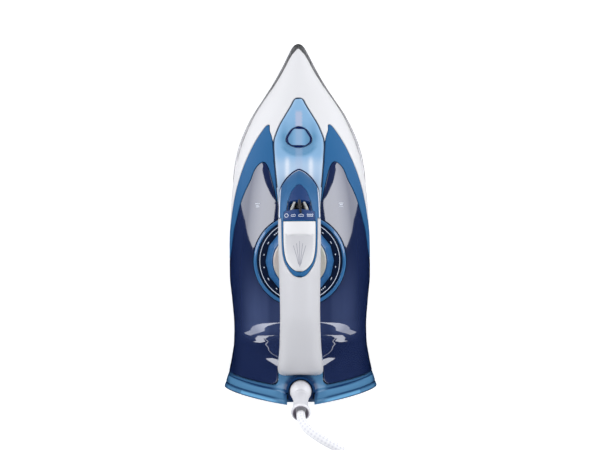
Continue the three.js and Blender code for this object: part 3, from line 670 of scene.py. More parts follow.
def smooth_path(points, spacing):
    """A centripetal Catmull-Rom curve through the points, in equal steps of about the spacing."""
    p = [np.array(q, float) for q in points]
    p = [2 * p[0] - p[1], *p, 2 * p[-1] - p[-2]]
    made = []
    for i in range(1, len(p) - 2):
        knots = [0.0]
        for a, b in zip(p[i - 1 : i + 2], p[i : i + 3]):
            knots.append(knots[-1] + max(np.linalg.norm(b - a), 1e-9) ** 0.5)
        for t in np.linspace(knots[1], knots[2], 24, endpoint=False):
            a = [
                ((knots[k + 1] - t) * p[i - 1 + k] + (t - knots[k]) * p[i + k]) / (knots[k + 1] - knots[k])
                for k in range(3)
            ]
            b = [
                ((knots[k + 2] - t) * a[k] + (t - knots[k]) * a[k + 1]) / (knots[k + 2] - knots[k])
                for k in range(2)
            ]
            made.append(((knots[2] - t) * b[0] + (t - knots[1]) * b[1]) / (knots[2] - knots[1]))
    made.append(p[-2])
    made = np.array(made)
    length = run_length(made)
    return points_at(made, length, np.linspace(0, length[-1], int(round(length[-1] / spacing)) + 1))


# ---------- camera, floor and lights ----------
PICTURE_WIDTH = 600
FOCAL_PIXELS = 954.3
SENSOR = 36.0
CAMERA_PLACE = (0.0004, -0.0101, 0.820)
CAMERA_ROLL = -0.41


def make_camera():
    data = bpy.data.cameras.new("camera")
    data.sensor_width = SENSOR
    data.lens = FOCAL_PIXELS / PICTURE_WIDTH * SENSOR
    camera = added("camera", data)
    camera.location = CAMERA_PLACE
    camera.rotation_euler = (0, 0, math.radians(CAMERA_ROLL))
    bpy.context.scene.camera = camera


def area_light(name, place, target, size, power):
    """A light that lights everything but shows in no reflection; the cards do that."""
    data = bpy.data.lights.new(name, "AREA")
    data.shape = "RECTANGLE"
    data.size, data.size_y = size
    data.energy = power
    light = added(name, data)
    light.location = place
    light.rotation_euler = (Vector(target) - Vector(place)).to_track_quat("-Z", "Y").to_euler()
    light.visible_glossy = False


SOFTBOX_Z = 1.15
SOFTBOX_FAR = 2.2
SOFTBOX_DROP_Y = (1.72, 0.3)
SOFTBOX_OUTLINE = (
    (0.17, -0.005), (0.17, 0.045), (0.38, 0.235), (0.82, 0.57), (1.1, 0.88), (SOFTBOX_FAR, 1.72),
    (SOFTBOX_FAR, 0.22), (1.53, 0.09), (0.8, -0.03),
)
FLOOR_CARD = (
    (0.2, 0.05), (0.13, 0.05), (0.1, 0.11), (0.12, 0.35), (0.3, 3.0), (2.2, 3.0), (0.4, 0.4), (0.22, 0.14),
)
FLOOR_CARD_Z = 0.003
CARD_COLOUR = (0.95, 0.96, 1.0, 1)
CARD_FADE = (0.5, 1.6)
OVERHEAD_GLOW, OVERHEAD_CENTRE_GLOW = 2.6, 5.0
FLOOR_GLOW, FLOOR_CENTRE_GLOW = 3.0, 3.6
WORLD_COLOUR, WORLD_STRENGTH = (0.93, 0.95, 1.0, 1), 0.6
FLOOR_SIZE, FLOOR_TONE, FLOOR_LIGHT = 25.0, 0.92, 0.45


def reflected_card(name, points, faces, strength, centre_strength):
    """A glowing card that only reflections see, brighter towards the middle of the set."""
    cloth = Shade(name + "_cloth", (0, 0, 0), 1.0)
    x = cloth.node("ShaderNodeSeparateXYZ", {0: cloth.position()}).outputs["X"]
    cloth.set("Emission Color", CARD_COLOUR)
    glow = cloth.span(cloth.math("ABSOLUTE", x), centre_strength, strength, *CARD_FADE)
    cloth.to("Emission Strength", glow)
    card = mesh_object(name, points, faces, cloth.material)
    card.visible_camera = card.visible_diffuse = card.visible_shadow = False


def make_cards():
    """On each side: a softbox overhead that bends down at its far end, and a bright patch of floor."""
    bend = len(SOFTBOX_OUTLINE)
    overhead_faces = [tuple(range(bend)), (5, bend, bend + 1, 6)]
    for name, side in SIDES:
        overhead = [(side * x, y, SOFTBOX_Z) for x, y in SOFTBOX_OUTLINE]
        overhead += [(side * SOFTBOX_FAR, y, 0.0) for y in SOFTBOX_DROP_Y]
        glow = (OVERHEAD_GLOW, OVERHEAD_CENTRE_GLOW)
        reflected_card(f"softbox_card_{name}", overhead, overhead_faces, *glow)
        ground = [(side * x, y, FLOOR_CARD_Z) for x, y in FLOOR_CARD]
        glow = (FLOOR_GLOW, FLOOR_CENTRE_GLOW)
        reflected_card(f"floor_card_{name}", ground, [tuple(range(len(FLOOR_CARD)))], *glow)


def make_studio():
    """Soft light from both sides, the front and the rear; gloss sees the cards alone."""
    scene = bpy.context.scene
    scene.view_settings.view_transform = "Standard"
    scene.view_settings.look = "None"
    world = bpy.data.worlds.new("studio")
    world.use_nodes = True
    sky = world.node_tree.nodes["Background"].inputs
    sky["Color"].default_value = WORLD_COLOUR
    sky["Strength"].default_value = WORLD_STRENGTH
    world.cycles_visibility.glossy = False
    scene.world = world
    for name, side in SIDES:
        area_light(f"softbox_{name}", (side * 1.1, 0.3, SOFTBOX_Z), (side * 1.1, 0.3, 0), (1.5, 0.72), 9.5)
        area_light(f"side_fill_{name}", (side * 1.5, -0.25, 0.35), (0, -0.05, 0.05), (0.9, 0.5), 3.4)
    area_light("front_fill", (0, 1.5, 0.6), (0, 0, 0.05), (0.8, 0.5), 3.0)
    area_light("rear_fill", (0, -1.6, 0.5), (0, 0, 0.05), (1.2, 0.4), 1.2)


def make_floor():
    corners = [(x * FLOOR_SIZE, y * FLOOR_SIZE, 0) for x, y in ((-1, -1), (1, -1), (1, 1), (-1, 1))]
    material = Shade("studio_floor", (FLOOR_TONE,) * 3, 0.9)
    material.set("Emission Color", (1, 1, 1, 1))
    material.set("Emission Strength", FLOOR_LIGHT)
    floor = mesh_object("floor", corners, [(0, 1, 2, 3)], material.material)
    floor.visible_glossy = False


# ---------- materials ----------
class Shade:
    """A material with one Principled shader and a short way to add nodes to it."""

    def __init__(
        self, name, colour, roughness, metallic=0.0, specular=0.5, coat=0.0, coat_roughness=0.03
    ):
        self.material = bpy.data.materials.new(name)
        self.material.use_nodes = True
        self.tree = self.material.node_tree
        self.shader = self.tree.nodes["Principled BSDF"]
        self.set("Base Color", (*colour, 1))
        self.set("Roughness", roughness)
        self.set("Metallic", metallic)
        self.set("Specular IOR Level", specular)
        self.set("Coat Weight", coat)
        self.set("Coat Roughness", coat_roughness)
        self.place = None

    def set(self, socket, value):
        self.shader.inputs[socket].default_value = value

    def node(self, kind, inputs=None, **settings):
        made = self.tree.nodes.new(kind)
        for key, value in settings.items():
            setattr(made, key, value)
        for key, value in (inputs or {}).items():
            if isinstance(value, bpy.types.NodeSocket):
                self.tree.links.new(value, made.inputs[key])
            else:
                made.inputs[key].default_value = value
        return made

    def to(self, socket, output):
        self.tree.links.new(output, self.shader.inputs[socket])

    def position(self):
        """The point in the object's own space, in metres."""
        if self.place is None:
            self.place = self.node("ShaderNodeTexCoord").outputs["Object"]
        return self.place

    def painted(self, name):
        """The number that paint() stored under a name."""
        return self.node("ShaderNodeAttribute", attribute_name=name).outputs["Fac"]

    def noise(self, per_metre, detail=2.0, stretch=None):
        where = self.position()
        if stretch:
            mapping = self.node("ShaderNodeMapping", {"Vector": where, "Scale": stretch})
            where = mapping.outputs["Vector"]
        settings = {"Vector": where, "Scale": per_metre, "Detail": detail}
        return self.node("ShaderNodeTexNoise", settings).outputs["Fac"]

    def span(self, value, low, high, start=0.3, end=0.7):
        inputs = {"Value": value, "From Min": start, "From Max": end, "To Min": low, "To Max": high}
        return self.node("ShaderNodeMapRange", inputs).outputs["Result"]

    def math(self, operation, a, b=0.0):
        return self.node("ShaderNodeMath", {0: a, 1: b}, operation=operation).outputs[0]

    def blend(self, share, first, second):
        """A colour between two, each a colour or a socket."""
        inputs = {0: share}
        for key, value in ((6, first), (7, second)):
            inputs[key] = value if isinstance(value, bpy.types.NodeSocket) else (*value, 1)
        return self.node("ShaderNodeMix", inputs, data_type="RGBA").outputs[2]

    def drift(self, noise, colour, low, high):
        """A base colour that drifts between a darker and a lighter tint."""
        share = self.span(noise, 0, 1)
        self.to("Base Color", self.blend(share, tint(colour, low), tint(colour, high)))

    def bump(self, height, depth):
        inputs = {"Height": height, "Distance": depth, "Strength": 1.0}
        self.to("Normal", self.node("ShaderNodeBump", inputs).outputs["Normal"])


def tint(colour, factor):
    return tuple(min(c * factor, 1.0) for c in colour)


def moulded(name, colour, roughness, grain=900.0, depth=0.000008, variation=0.012, **settings):
    """Injection-moulded plastic: faint spark-eroded grain, uneven gloss and slight colour drift."""
    shade = Shade(name, colour, roughness, **settings)
    shade.drift(shade.noise(22, 3), colour, 1 - variation, 1 + variation)
    shade.to("Roughness", shade.span(shade.noise(90, 3), roughness * 0.94, roughness * 1.06))
    shade.bump(shade.noise(grain, 2), depth)
    return shade


def brushed_metal(name, colour, roughness):
    """Metal with a lengthwise brushed finish and soft tarnish."""
    shade = Shade(name, colour, roughness, metallic=1.0)
    lines = shade.noise(2600, 3, (1.0, 0.03, 1.0))
    shade.drift(shade.noise(40, 4), colour, 0.86, 1.06)
    shade.to("Roughness", shade.span(lines, roughness * 0.7, roughness * 1.35))
    shade.bump(lines, 0.00002)
    return shade


def cast_metal(name, colour, roughness):
    """Sand-rough cast metal."""
    shade = Shade(name, colour, roughness, metallic=0.9)
    grain = shade.noise(900, 5)
    shade.drift(grain, colour, 0.75, 1.1)
    shade.to("Roughness", shade.span(grain, roughness * 0.8, roughness * 1.2))
    shade.bump(grain, 0.0001)
    return shade


WHITE = (0.70, 0.70, 0.715)
GRIP_WHITE = (0.585, 0.585, 0.61)
BLUE = (0.0145, 0.110, 0.275)
DEEP_BLUE = (0.006, 0.038, 0.155)
NAVY = (0.006, 0.014, 0.060)
PALE_BLUE = (0.26, 0.48, 0.74)
LINE_WHITE = (0.80, 0.86, 0.95)
HEEL_BLUE = (0.055, 0.22, 0.46)


def make_materials():
    rough = {"depth": 0.00004}
    made = {
        "white": moulded("white_satin_plastic", WHITE, 0.5, specular=0.25),
        "grip_white": moulded(
            "white_grip_plastic", GRIP_WHITE, 0.42, grain=1200, depth=0.00001, specular=0.3
        ),
        "bezel_white": moulded("bezel_white_plastic", (0.74, 0.78, 0.86), 0.4),
        "blue": moulded("blue_satin_plastic", BLUE, 0.5, variation=0.04, specular=0.2),
        "deep_blue": moulded("deep_blue_plastic", DEEP_BLUE, 0.45, variation=0.04, specular=0.2),
        "navy": navy_tank(),
        "navy_ring": moulded("navy_dial_plastic", (0.001, 0.008, 0.032), 0.5, specular=0.1),
        "pale_blue": pale_cover(),
        "collar": moulded("pale_blue_collar_plastic", (0.045, 0.17, 0.38), 0.12, coat=1.0),
        "knob_blue": moulded("blue_knob_plastic", (0.028, 0.140, 0.35), 0.3, coat=0.3),
        "heel": heel_bands(),
        "pearl": pearl(),
        "pearl_bars": moulded("pale_pearl_plastic", (0.42, 0.43, 0.42), 0.25, coat=0.5),
        "trigger": trigger_white(),
        "black": moulded("black_gloss_plastic", (0.004, 0.005, 0.010), 0.12, coat=0.6),
        "print": moulded("pale_print", LINE_WHITE, 0.45),
        "grey_print": moulded("grey_print", (0.27, 0.27, 0.33), 0.5),
        "mouth_shade": moulded("mouth_shade_grey", (0.20, 0.18, 0.22), 0.6),
        "navy_rim_and_shadow_line": moulded("navy_rim_and_shadow_line_plastic", (0.002, 0.012, 0.08), 0.2, coat=0.4),
        "sole": brushed_metal("brushed_soleplate", (0.36, 0.36, 0.37), 0.34),
        "steel": brushed_metal("bright_steel", (0.55, 0.56, 0.58), 0.25),
        "brass": brushed_metal("polished_brass", (0.62, 0.46, 0.19), 0.22),
        "aluminium": cast_metal("cast_aluminium", (0.50, 0.51, 0.52), 0.5),
        "ceramic": moulded("matt_ceramic", (0.72, 0.68, 0.58), 0.6, grain=1500, **rough),
        "shield": moulded("black_shield_plastic", (0.015, 0.015, 0.017), 0.55, grain=1500, **rough),
        "slate": moulded("slate_edge_and_gap_shadow", (0.012, 0.028, 0.065), 0.5),
        "rubber": moulded("black_rubber", (0.02, 0.02, 0.022), 0.7, grain=1800, **rough),
        "plug": moulded("white_plug_plastic", (0.74, 0.74, 0.77), 0.38, grain=1300, depth=0.00003),
        "braid": braid(),
    }
    return {look: shade.material for look, shade in made.items()}


def navy_tank():
    """Dark clear plastic: deep navy, with painted light over the flat behind the dial and painted shade
    beside the handle and towards the walls.
    """
    shade = Shade("navy_clear_plastic", NAVY, 0.05, specular=0.75, coat=1.0, coat_roughness=0.02)
    # depth carries the painted light and shade from tank_painted_light
    depth = shade.painted("depth")
    streaks = shade.span(shade.noise(60, 2, (1.0, 0.12, 1.0)), 0.6, 1.0)
    shade.to("Base Color", shade.blend(shade.math("MULTIPLY", depth, streaks), NAVY, (0.070, 0.098, 0.215)))
    return shade


def pale_cover():
    """Pale clear plastic, sky blue, with painted shade that runs to teal and painted highlights that run to
    white.
    """
    shade = Shade("pale_blue_clear_plastic", PALE_BLUE, 0.1, specular=0.6, coat=0.8)
    light_and_shade = shade.painted("light_and_shade")
    lower = shade.blend(shade.span(light_and_shade, 0, 1, 0, 0.5), (0.06, 0.22, 0.40), (0.27, 0.47, 0.70))
    upper = shade.blend(shade.span(light_and_shade, 0, 1, 0.5, 1), lower, (0.74, 0.82, 0.92))
    # a painted reflection down the crest, paler and lilac
    crest_highlight = shade.painted("crest_highlight")
    shade.to("Base Color", shade.blend(crest_highlight, upper, (0.44, 0.50, 0.66)))
    return shade


def cover_light_and_shade(x, y, z):
    """Painted light and shade on the nose cover: a darker halo and a shadowed crescent round the cap,
    darker flanks beside it, lighter towards the rear and the edges, and white painted highlights in bands
    either side of the middle.
    """
    x = np.abs(x)
    reach = np.hypot(x / 10.9, (y - 61) / 10.0)
    # low_end, edge and band are painted highlights; halo, crescent and flank are painted shade
    low_end = smoothstep((49 - y) / 12)
    halo = np.exp(-(((reach - 1.12) / 0.3) ** 2)) * (0.25 + 0.75 * smoothstep((69 - y) / 8))
    crescent = np.exp(-(((reach - 1.42) / 0.12) ** 2)) * smoothstep((56 - y) / 4)
    flank = np.exp(-(((x - 12.5) / 3.5) ** 2)) * np.exp(-(((y - 68) / 9.0) ** 2))
    edge = smoothstep((x - nose_cover_half(y) + 4) / 3)
    band = np.exp(-(((x - 9.6) / 1.7) ** 2)) * smoothstep((48 - y) / 8)
    value = 0.47 + 0.22 * low_end - 0.26 * halo - 0.2 * crescent - 0.12 * flank
    return np.clip(value + 0.12 * edge + 0.4 * band, 0, 1)


# Painted shade on the cap: mid teal, darker towards its sides.
def cap_light_and_shade(x, y, z):
    return 0.36 - 0.16 * smoothstep((np.abs(x) - 3.5) / 3)


def centre_crest_highlight(x, y, z):
    """Painted reflection down the crest: a paler middle column, brightest ahead of the cap."""
    ahead = smoothstep((y - 68) / 4)
    return (0.3 + 0.6 * ahead) * smoothstep((3.3 - np.abs(x)) / 1.2) * smoothstep((85 - y) / 3)


def tank_painted_light(x, y, z):
    """How much painted light the tank shows: most over the flat behind the dial, less beside the handle
    where it is painted shade, none in the walls.
    """
    x = np.abs(x)
    flat = smoothstep((51 - x) / 12) * smoothstep((y + 106) / 12) * smoothstep((-22 - y) / 70)
    beside_handle = 1 - 0.45 * smoothstep((27 - x) / 3)
    return 0.14 + 0.8 * flat * beside_handle - 0.1 * smoothstep((x - 48) / 8)


def heel_bands():
    """Tinted clear plastic, lighter where it is thin, with painted shade in the grooves, round the ball and
    on the flanks.
    """
    shade = Shade("heel_blue_clear_plastic", HEEL_BLUE, 0.2, specular=0.35, coat=0.3)
    # band carries the heel's own tone together with its painted shade
    band = shade.painted("band")
    shade.to("Base Color", shade.blend(band, (0.003, 0.030, 0.11), (0.15, 0.40, 0.66)))
    shade.bump(shade.noise(60, 1), 0.00001)
    return shade


def trigger_white():
    """White plastic with painted shade on the thumb pad behind the step."""
    shade = moulded("trigger_plastic", WHITE, 0.45, specular=0.3)
    # pad carries the painted shade behind the step
    pad = shade.painted("pad")
    shade.to("Base Color", shade.blend(pad, WHITE, (0.53, 0.53, 0.555)))
    return shade


def pad_shade(x, y, z):
    """Painted shade: darkest just behind the step, fading towards the rear of the trigger."""
    behind = smoothstep((STEP_Y - y) / 1.2 + 0.5)
    rim = smoothstep((trigger_half(y) - np.abs(x) - 0.8) / 1.5)
    return behind * rim * (1 - 0.5 * smoothstep((STEP_Y - 4 - y) / 18))


def pearl():
    """Pearl lacquer: beige, green and pink drift over a fine radial brushing."""
    shade = Shade("pearl_lacquer", (0.48, 0.47, 0.42), 0.35, metallic=0.1, coat=0.4)
    drift = shade.span(shade.noise(30, 1), 0, 1)
    shade.to("Base Color", shade.blend(drift, (0.42, 0.46, 0.38), (0.56, 0.49, 0.45)))
    shade.bump(shade.noise(2400, 2), 0.00002)
    return shade


BRAID_STRANDS = 4
BRAID_PITCH = 5.2


def braid():
    """Braided textile: two crossing sets of white strands, with painted shade in grey between them."""
    shade = Shade("braided_textile", (0.80, 0.80, 0.82), 0.75)
    shade.set("Sheen Weight", 0.3)
    uv = shade.node("ShaderNodeUVMap", uv_map="cord_uv").outputs["UV"]
    split = shade.node("ShaderNodeSeparateXYZ", {0: uv})
    around, along = split.outputs["X"], split.outputs["Y"]
    turns = shade.math("MULTIPLY", around, TURN * BRAID_STRANDS)
    travel = shade.math("MULTIPLY", along, TURN)
    first = shade.math("SINE", shade.math("ADD", turns, travel))
    second = shade.math("SINE", shade.math("SUBTRACT", turns, travel))
    crossing = shade.math("MULTIPLY", first, second)
    threads = shade.math("SINE", shade.math("MULTIPLY", shade.math("ADD", turns, travel), 5.0))
    hollow_shade = shade.span(crossing, 0, 1, -0.9, 0.15)
    colour = shade.blend(hollow_shade, (0.70, 0.70, 0.75), (0.86, 0.86, 0.88))
    shade.to("Base Color", colour)
    height = shade.math("ADD", crossing, shade.math("MULTIPLY", threads, 0.3))
    shade.bump(height, 0.00012)
    return shade


CAD_LOOKS = {
    "heater_casting": "aluminium", "steam_chamber_lid": "steel", "heating_element": "steel",
    "thermostat": "ceramic", "thermal_fuse": "ceramic", "drip_valve_seat": "brass",
    "insulating_skirt": "shield", "filler_seal": "rubber", "tank_base": "navy", "spindle_sleeve": "navy",
    "dial_spindle": "steel", "pump_piston": "white", "pump_cylinder": "shield", "trigger_spring": "steel",
    "steam_valve_rod": "steel", "cord_ball_seat": "deep_blue", "terminal_block": "ceramic",
    "live_wire": "rubber", "neutral_wire": "rubber", "casting_screw_front": "steel",
    "casting_screw_rear": "steel",
}


def dress_cad_nodes(looks):
    """Looks for the inner parts, which are shown as the CAD made them."""
    for name, look in CAD_LOOKS.items():
        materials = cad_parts[name].data.materials
        materials.clear()
        materials.append(looks[look])


# ---------- edges of the mouldings: flat lines on the body's skin, and the tracks they follow ----------
def stations(start, end, count=240):
    """Values from start to end, crowded towards both ends."""
    return start + (end - start) * (1 - np.cos(np.linspace(0, HALF_TURN, count))) / 2


def on_body(x, y):
    """A flat edge of the body's skin through plan points."""
    return BODY.edge(y, parameter_at(x, y))


def share_at(x, y):
    """The section parameter of one plan point."""
    return float(parameter_at(x, y))


def plan_edge(half, start, end, grow=0.0):
    """A flat edge of the body's skin, on the right, that follows a half-width track."""
    y = stations(start, end)
    return on_body(np.maximum(half(y) + grow, 1e-3), y)


def mirrored(edges):
    """The same edges on the other side, run the other way so that the loop goes on."""
    return [edge[::-1] * (-1, 1) for edge in reversed(edges)]


def both_sides(right):
    """The whole loop of an outline whose right half is given."""
    return right + mirrored(right)


def plan_circle(radius, y, count=240):
    angle = np.linspace(0, TURN, count + 1)
    return on_body(radius * np.sin(angle), y + radius * np.cos(angle))


# Half-widths in plan, station by station. Inner and outer tracks of one name bound the same strip.
trim_outer = track(
    (73, 25), (72.4, 26.6), (68.3, 30.1), (64.2, 33), (56, 38), (47.7, 42.1), (35.3, 47.3), (18.9, 52.4),
    (2.4, 55.9), (-5.9, 57.2), (-14, 58.6), (-17, 62),
)
trim_inner = track((73, 25), (72.4, 24.4), (68.1, 24.2), (63.7, 22.8), (59.5, 21.9), (51, 21.2), (45, 20.7))
window_outer = track(
    (41.6, 29), (41.3, 30.6), (38.9, 33.9), (34.8, 36.8), (26.7, 40), (18.5, 44.2), (10.4, 47.6),
    (2.2, 50.1), (-6, 52.3), (-14.2, 54.5), (-22.5, 55.8), (-30.8, 57), (-40, 59.5), (-42, 64),
)
window_inner = track(
    (41.6, 29), (41.3, 28.2), (38.7, 26.1), (34.6, 24.4), (26.4, 22.3), (18.3, 20.3), (8, 18.2)
)
nose_cover_half = track(
    (95.4, 0.3), (94.9, 2.5), (93.2, 4.3), (88.9, 6.5), (80.4, 11.5), (72, 16.3), (63.6, 19.7),
    (59.5, 20.9), (55.5, 21.2), (42.8, 20.5), (26.4, 19.1), (10.2, 17.7), (-4.4, 16.9),
)
filler_half = track(
    (70.9, 0.4), (70.2, 2.7), (69, 5.2), (66.8, 7.4), (64.4, 8.9), (61.9, 10.3), (60.2, 10.7), (58.2, 10.5),
    (56.2, 8.9), (54.6, 6.4), (53.5, 3.7), (53, 0.4),
)
bezel_half = track(
    (-47.2, 1.2), (-46.8, 3), (-45.8, 4.7), (-44, 6.5), (-41.1, 8.6), (-38.7, 10.1), (-35.1, 11.6),
    (-29.2, 12.8), (-23.2, 13.2), (-15, 13.5), (-4.6, 13.9), (-3.6, 30),
)
trigger_half = track(
    (-43.6, 0.4), (-43.3, 1.7), (-42.6, 3.4), (-41.1, 5.6), (-38.7, 7.8), (-35.1, 9.8),
    (-29.2, 11.1), (-23.2, 11.6), (-15, 11.8), (-5, 11.9),
)
TRIM_TIP_Y = 72.8
WINDOW_TIP_Y = 41.6
NOSE_COVER_TIP_Y = 95.2
NOSE_COVER_REAR_Y = 0.8
FILLER_SPAN = (53.0, 70.9)
CAP_SPAN = (FILLER_SPAN[0] + 0.1, FILLER_SPAN[1] - 0.1)
THIN = 0.35


def band_loop(outer, inner):
    """The loop of a band that runs up both sides between an outer and an inner line of edges."""
    right = [np.stack([inner[0][0], outer[0][0]]), *outer]
    back = [edge[::-1] for edge in reversed(inner)]
    return both_sides(right) + mirrored(back) + back


def meeting(first, second, low, high):
    """The station at which the first half-width stops being the larger, going back from high."""
    return float(bisect(lambda y: first(y) - second(y), low, high))


def wall_station(half, grow, low, high):
    """Where an outline that widens to the rear reaches the side wall."""
    return meeting(half_width, lambda y: half(y) + grow, low, high)


def trim_wall(grow):
    return wall_station(trim_outer, grow, -17, -8)


def window_wall(grow):
    return wall_station(window_outer, grow, -42, -30)


def window_inner_end():
    """Where the window's inner edge runs into the nose cover's."""
    return meeting(lambda y: window_inner(y) - THIN, lambda y: nose_cover_half(y) + GAP, 4, 16)


# ---------- covers ----------
def front_cover():
    grow = SEAM_HALF
    strip_end = meeting(lambda y: trim_inner(y) - THIN, lambda y: nose_cover_half(y) + 2 * grow, 40, 60)
    wall_y = trim_wall(grow)
    right = [
        BODY.line((wall_y, WALL_SHARE), (wall_y, 0)),
        BODY.line((wall_y, 0), (COVER_NOSE_Y, 0)),
        BODY.line((COVER_NOSE_Y, 0), (COVER_NOSE_Y, 1)),
    ]
    inner_right = [
        plan_edge(nose_cover_half, NOSE_COVER_TIP_Y + grow, strip_end, grow),
        plan_edge(trim_inner, strip_end, TRIM_TIP_Y + grow, -grow),
        plan_edge(trim_outer, TRIM_TIP_Y + grow, wall_y, grow),
    ]
    loop = both_sides(right) + mirrored(inner_right) + inner_right
    return panel(BODY, [loop], radius=0.5)


def side_trim(side):
    grow = SEAM_HALF
    wall_front, wall_rear = trim_wall(-grow), window_wall(grow)
    cover_meet = meeting(lambda y: trim_inner(y) + grow, lambda y: nose_cover_half(y) + grow, 40, 60)
    tip = window_inner_end()
    edges = [
        plan_edge(trim_outer, TRIM_TIP_Y - grow, wall_front, -grow),
        BODY.line((wall_front, WALL_SHARE), (wall_front, 0)),
        BODY.line((wall_front, 0), (wall_rear, 0)),
        BODY.line((wall_rear, 0), (wall_rear, WALL_SHARE)),
        plan_edge(window_outer, wall_rear, WINDOW_TIP_Y, grow),
        plan_edge(window_inner, WINDOW_TIP_Y, tip, -grow),
        plan_edge(nose_cover_half, tip, cover_meet, grow),
        plan_edge(trim_inner, cover_meet, TRIM_TIP_Y - grow, grow),
    ]
    return panel(BODY, [edges if side > 0 else mirrored(edges)], radius=0.5)


def nose_cover():
    grow = SEAM_HALF
    y = NOSE_COVER_REAR_Y
    rear = BODY.line((y, 1), (y, share_at(nose_cover_half(y) - grow, y)))
    right = [rear, plan_edge(nose_cover_half, y, NOSE_COVER_TIP_Y, -grow)]
    hole = [plan_edge(filler_half, *FILLER_SPAN, grow + 0.1)]
    loops = [both_sides(right), both_sides(hole)]
    return panel(BODY, loops, radius=0.5, pitch=1.6, relief=finger_dip)


def nose_cover_seam():
    """A dark line along the nose cover's edge: partly its own dark edge, partly painted shadow of the gap.
    """
    outer = plan_edge(nose_cover_half, 20, NOSE_COVER_TIP_Y, -0.25)
    inner = plan_edge(nose_cover_half, 20.7, NOSE_COVER_TIP_Y - 1.1, -1.1)
    loop = band_loop([outer], [inner])
    return panel(BODY, [loop], top=-0.12, thickness=0.4, radius=0.15, pitch=0.8, spacing=0.6)


LEVEL_MARK = (34.0, 7.5)


def level_marks():
    """A filling mark on each side of the tank: three short bars, the top one longest."""
    made = []
    for side in (-1, 1):
        for k, length in enumerate((3.6, 2.4, 3.0)):
            x = LEVEL_MARK[0] + np.linspace(-length / 2, length / 2, 8)
            y = np.full(8, LEVEL_MARK[1] - 1.3 * k)
            s = parameter_at(side * x, y)
            path = body_point(y, s)
            out = np.cross(body_point(y, s + 0.01) - path, body_point(y + 0.1, s) - path)
            out = unit(out)
            out *= np.sign(out[:, 2])[:, None]
            made.append(ribbon(path, out, 0.04, 0.4))
    return made


def finger_dip(points, distance):
    """The crescent behind the filler cap that a fingernail goes into."""
    x, y = points[:, 0], points[:, 1]
    reach = np.hypot(x / 13.0, (y - 53.5) / 9.5)
    return 1.3 * smoothstep((1.05 - reach) / 0.45) * smoothstep((61 - y) / 4)


def filler_cap():
    cap = [plan_edge(filler_half, *CAP_SPAN, -SEAM_HALF)]
    return panel(BODY, [both_sides(cap)], thickness=1.5, radius=0.5, pitch=1.2, spacing=0.7)


def filler_rim():
    """The dark raised rim along the filler cap's edge."""
    outer = [plan_edge(filler_half, *CAP_SPAN, -0.25)]
    inner = [plan_edge(filler_half, FILLER_SPAN[0] + 1.9, FILLER_SPAN[1] - 2.2, -1.9)]
    loops = [both_sides(outer), both_sides(inner)]
    return panel(BODY, loops, top=-0.45, thickness=0.7, radius=0.35, pitch=0.9, spacing=0.6)


TONGUE_HALF = 17.4
TONGUE_Y = -120.5
TONGUE_FILLET = 4.5


def corner_arc(x, y, radius, steps=12):
    """A quarter circle in plan that leads round the corner at x and y, from beside it to behind it."""
    angles = np.linspace(HALF_TURN, HALF_TURN * 1.5, steps)
    return [(x + radius + radius * math.cos(a), y + radius + radius * math.sin(a)) for a in angles]


def water_tank():
    grow = SEAM_HALF
    wall_y = window_wall(-grow)
    tip = window_inner_end()
    front = NOSE_COVER_REAR_Y - GAP
    rear = TANK_REAR_Y + grow
    tongue_x, tongue_y = TONGUE_HALF + GAP, TONGUE_Y + GAP
    fillet = plan_polyline(corner_arc(tongue_x, rear, TONGUE_FILLET))
    right = [
        BODY.line((rear, share_at(tongue_x + TONGUE_FILLET, rear)), (rear, 0)),
        BODY.line((rear, 0), (wall_y, 0)),
        BODY.line((wall_y, 0), (wall_y, WALL_SHARE)),
        plan_edge(window_outer, wall_y, WINDOW_TIP_Y - 0.3, -grow),
        plan_edge(window_inner, WINDOW_TIP_Y - 0.3, tip, grow),
        plan_edge(nose_cover_half, tip, front, grow),
        BODY.line((front, share_at(nose_cover_half(front) + grow, front)), (front, 1)),
    ]
    y = np.linspace(tongue_y, rear + TONGUE_FILLET, 40)
    beside = on_body(np.full(40, tongue_x), y)
    top = BODY.line((tongue_y, 1), (tongue_y, share_at(tongue_x, tongue_y)))
    loop = [top, beside, fillet, *right]
    rim = COLLAR_RADIUS + 0.4
    shell = panel(BODY, [both_sides(loop), [plan_circle(rim, DIAL_Y)]], radius=0.6)
    pocket = [(rim, DIAL_FLOOR + 3.6), (rim, DIAL_FLOOR), (8, DIAL_FLOOR), (8, DIAL_FLOOR - 2)]
    pocket += [(rim + 1.6, DIAL_FLOOR - 2), (rim + 1.6, 43.6), (rim + 0.4, 43.8)]
    return [shell, dial_lathe(pocket, 96, closed=True)]


# ---------- dial ----------
def dial_lathe(profile, sides=128, closed=False):
    return lathe(profile, sides, at(0, DIAL_Y, 0), closed)


def dial_collar():
    low, top = DIAL_FLOOR + 0.3, 49.6
    profile = [
        (DIAL_RADIUS + 0.4, low), (COLLAR_RADIUS, low), (COLLAR_RADIUS, top - 1.2),
        (COLLAR_RADIUS - 1.4, top), (DIAL_RADIUS + 0.4, top - 0.2),
    ]
    return dial_lathe(rounded(profile, 0.6, closed=True), closed=True)


DIAL_RIM = 50.4
KNOB_TOP = 61.5
KNOB_RADIUS = 27.6
KNOB_TOP_RADIUS = 22.8
KNOB_SIDES = 14


def dial_disc():
    profile = [
        (0, DIAL_FLOOR + 0.4), (DIAL_RADIUS, DIAL_FLOOR + 0.4), (DIAL_RADIUS, DIAL_RIM - 0.6),
        (DIAL_RADIUS - 0.8, DIAL_RIM), (KNOB_RADIUS - 1, DIAL_RIM), (0, DIAL_RIM),
    ]
    return dial_lathe(rounded(profile, 0.5))


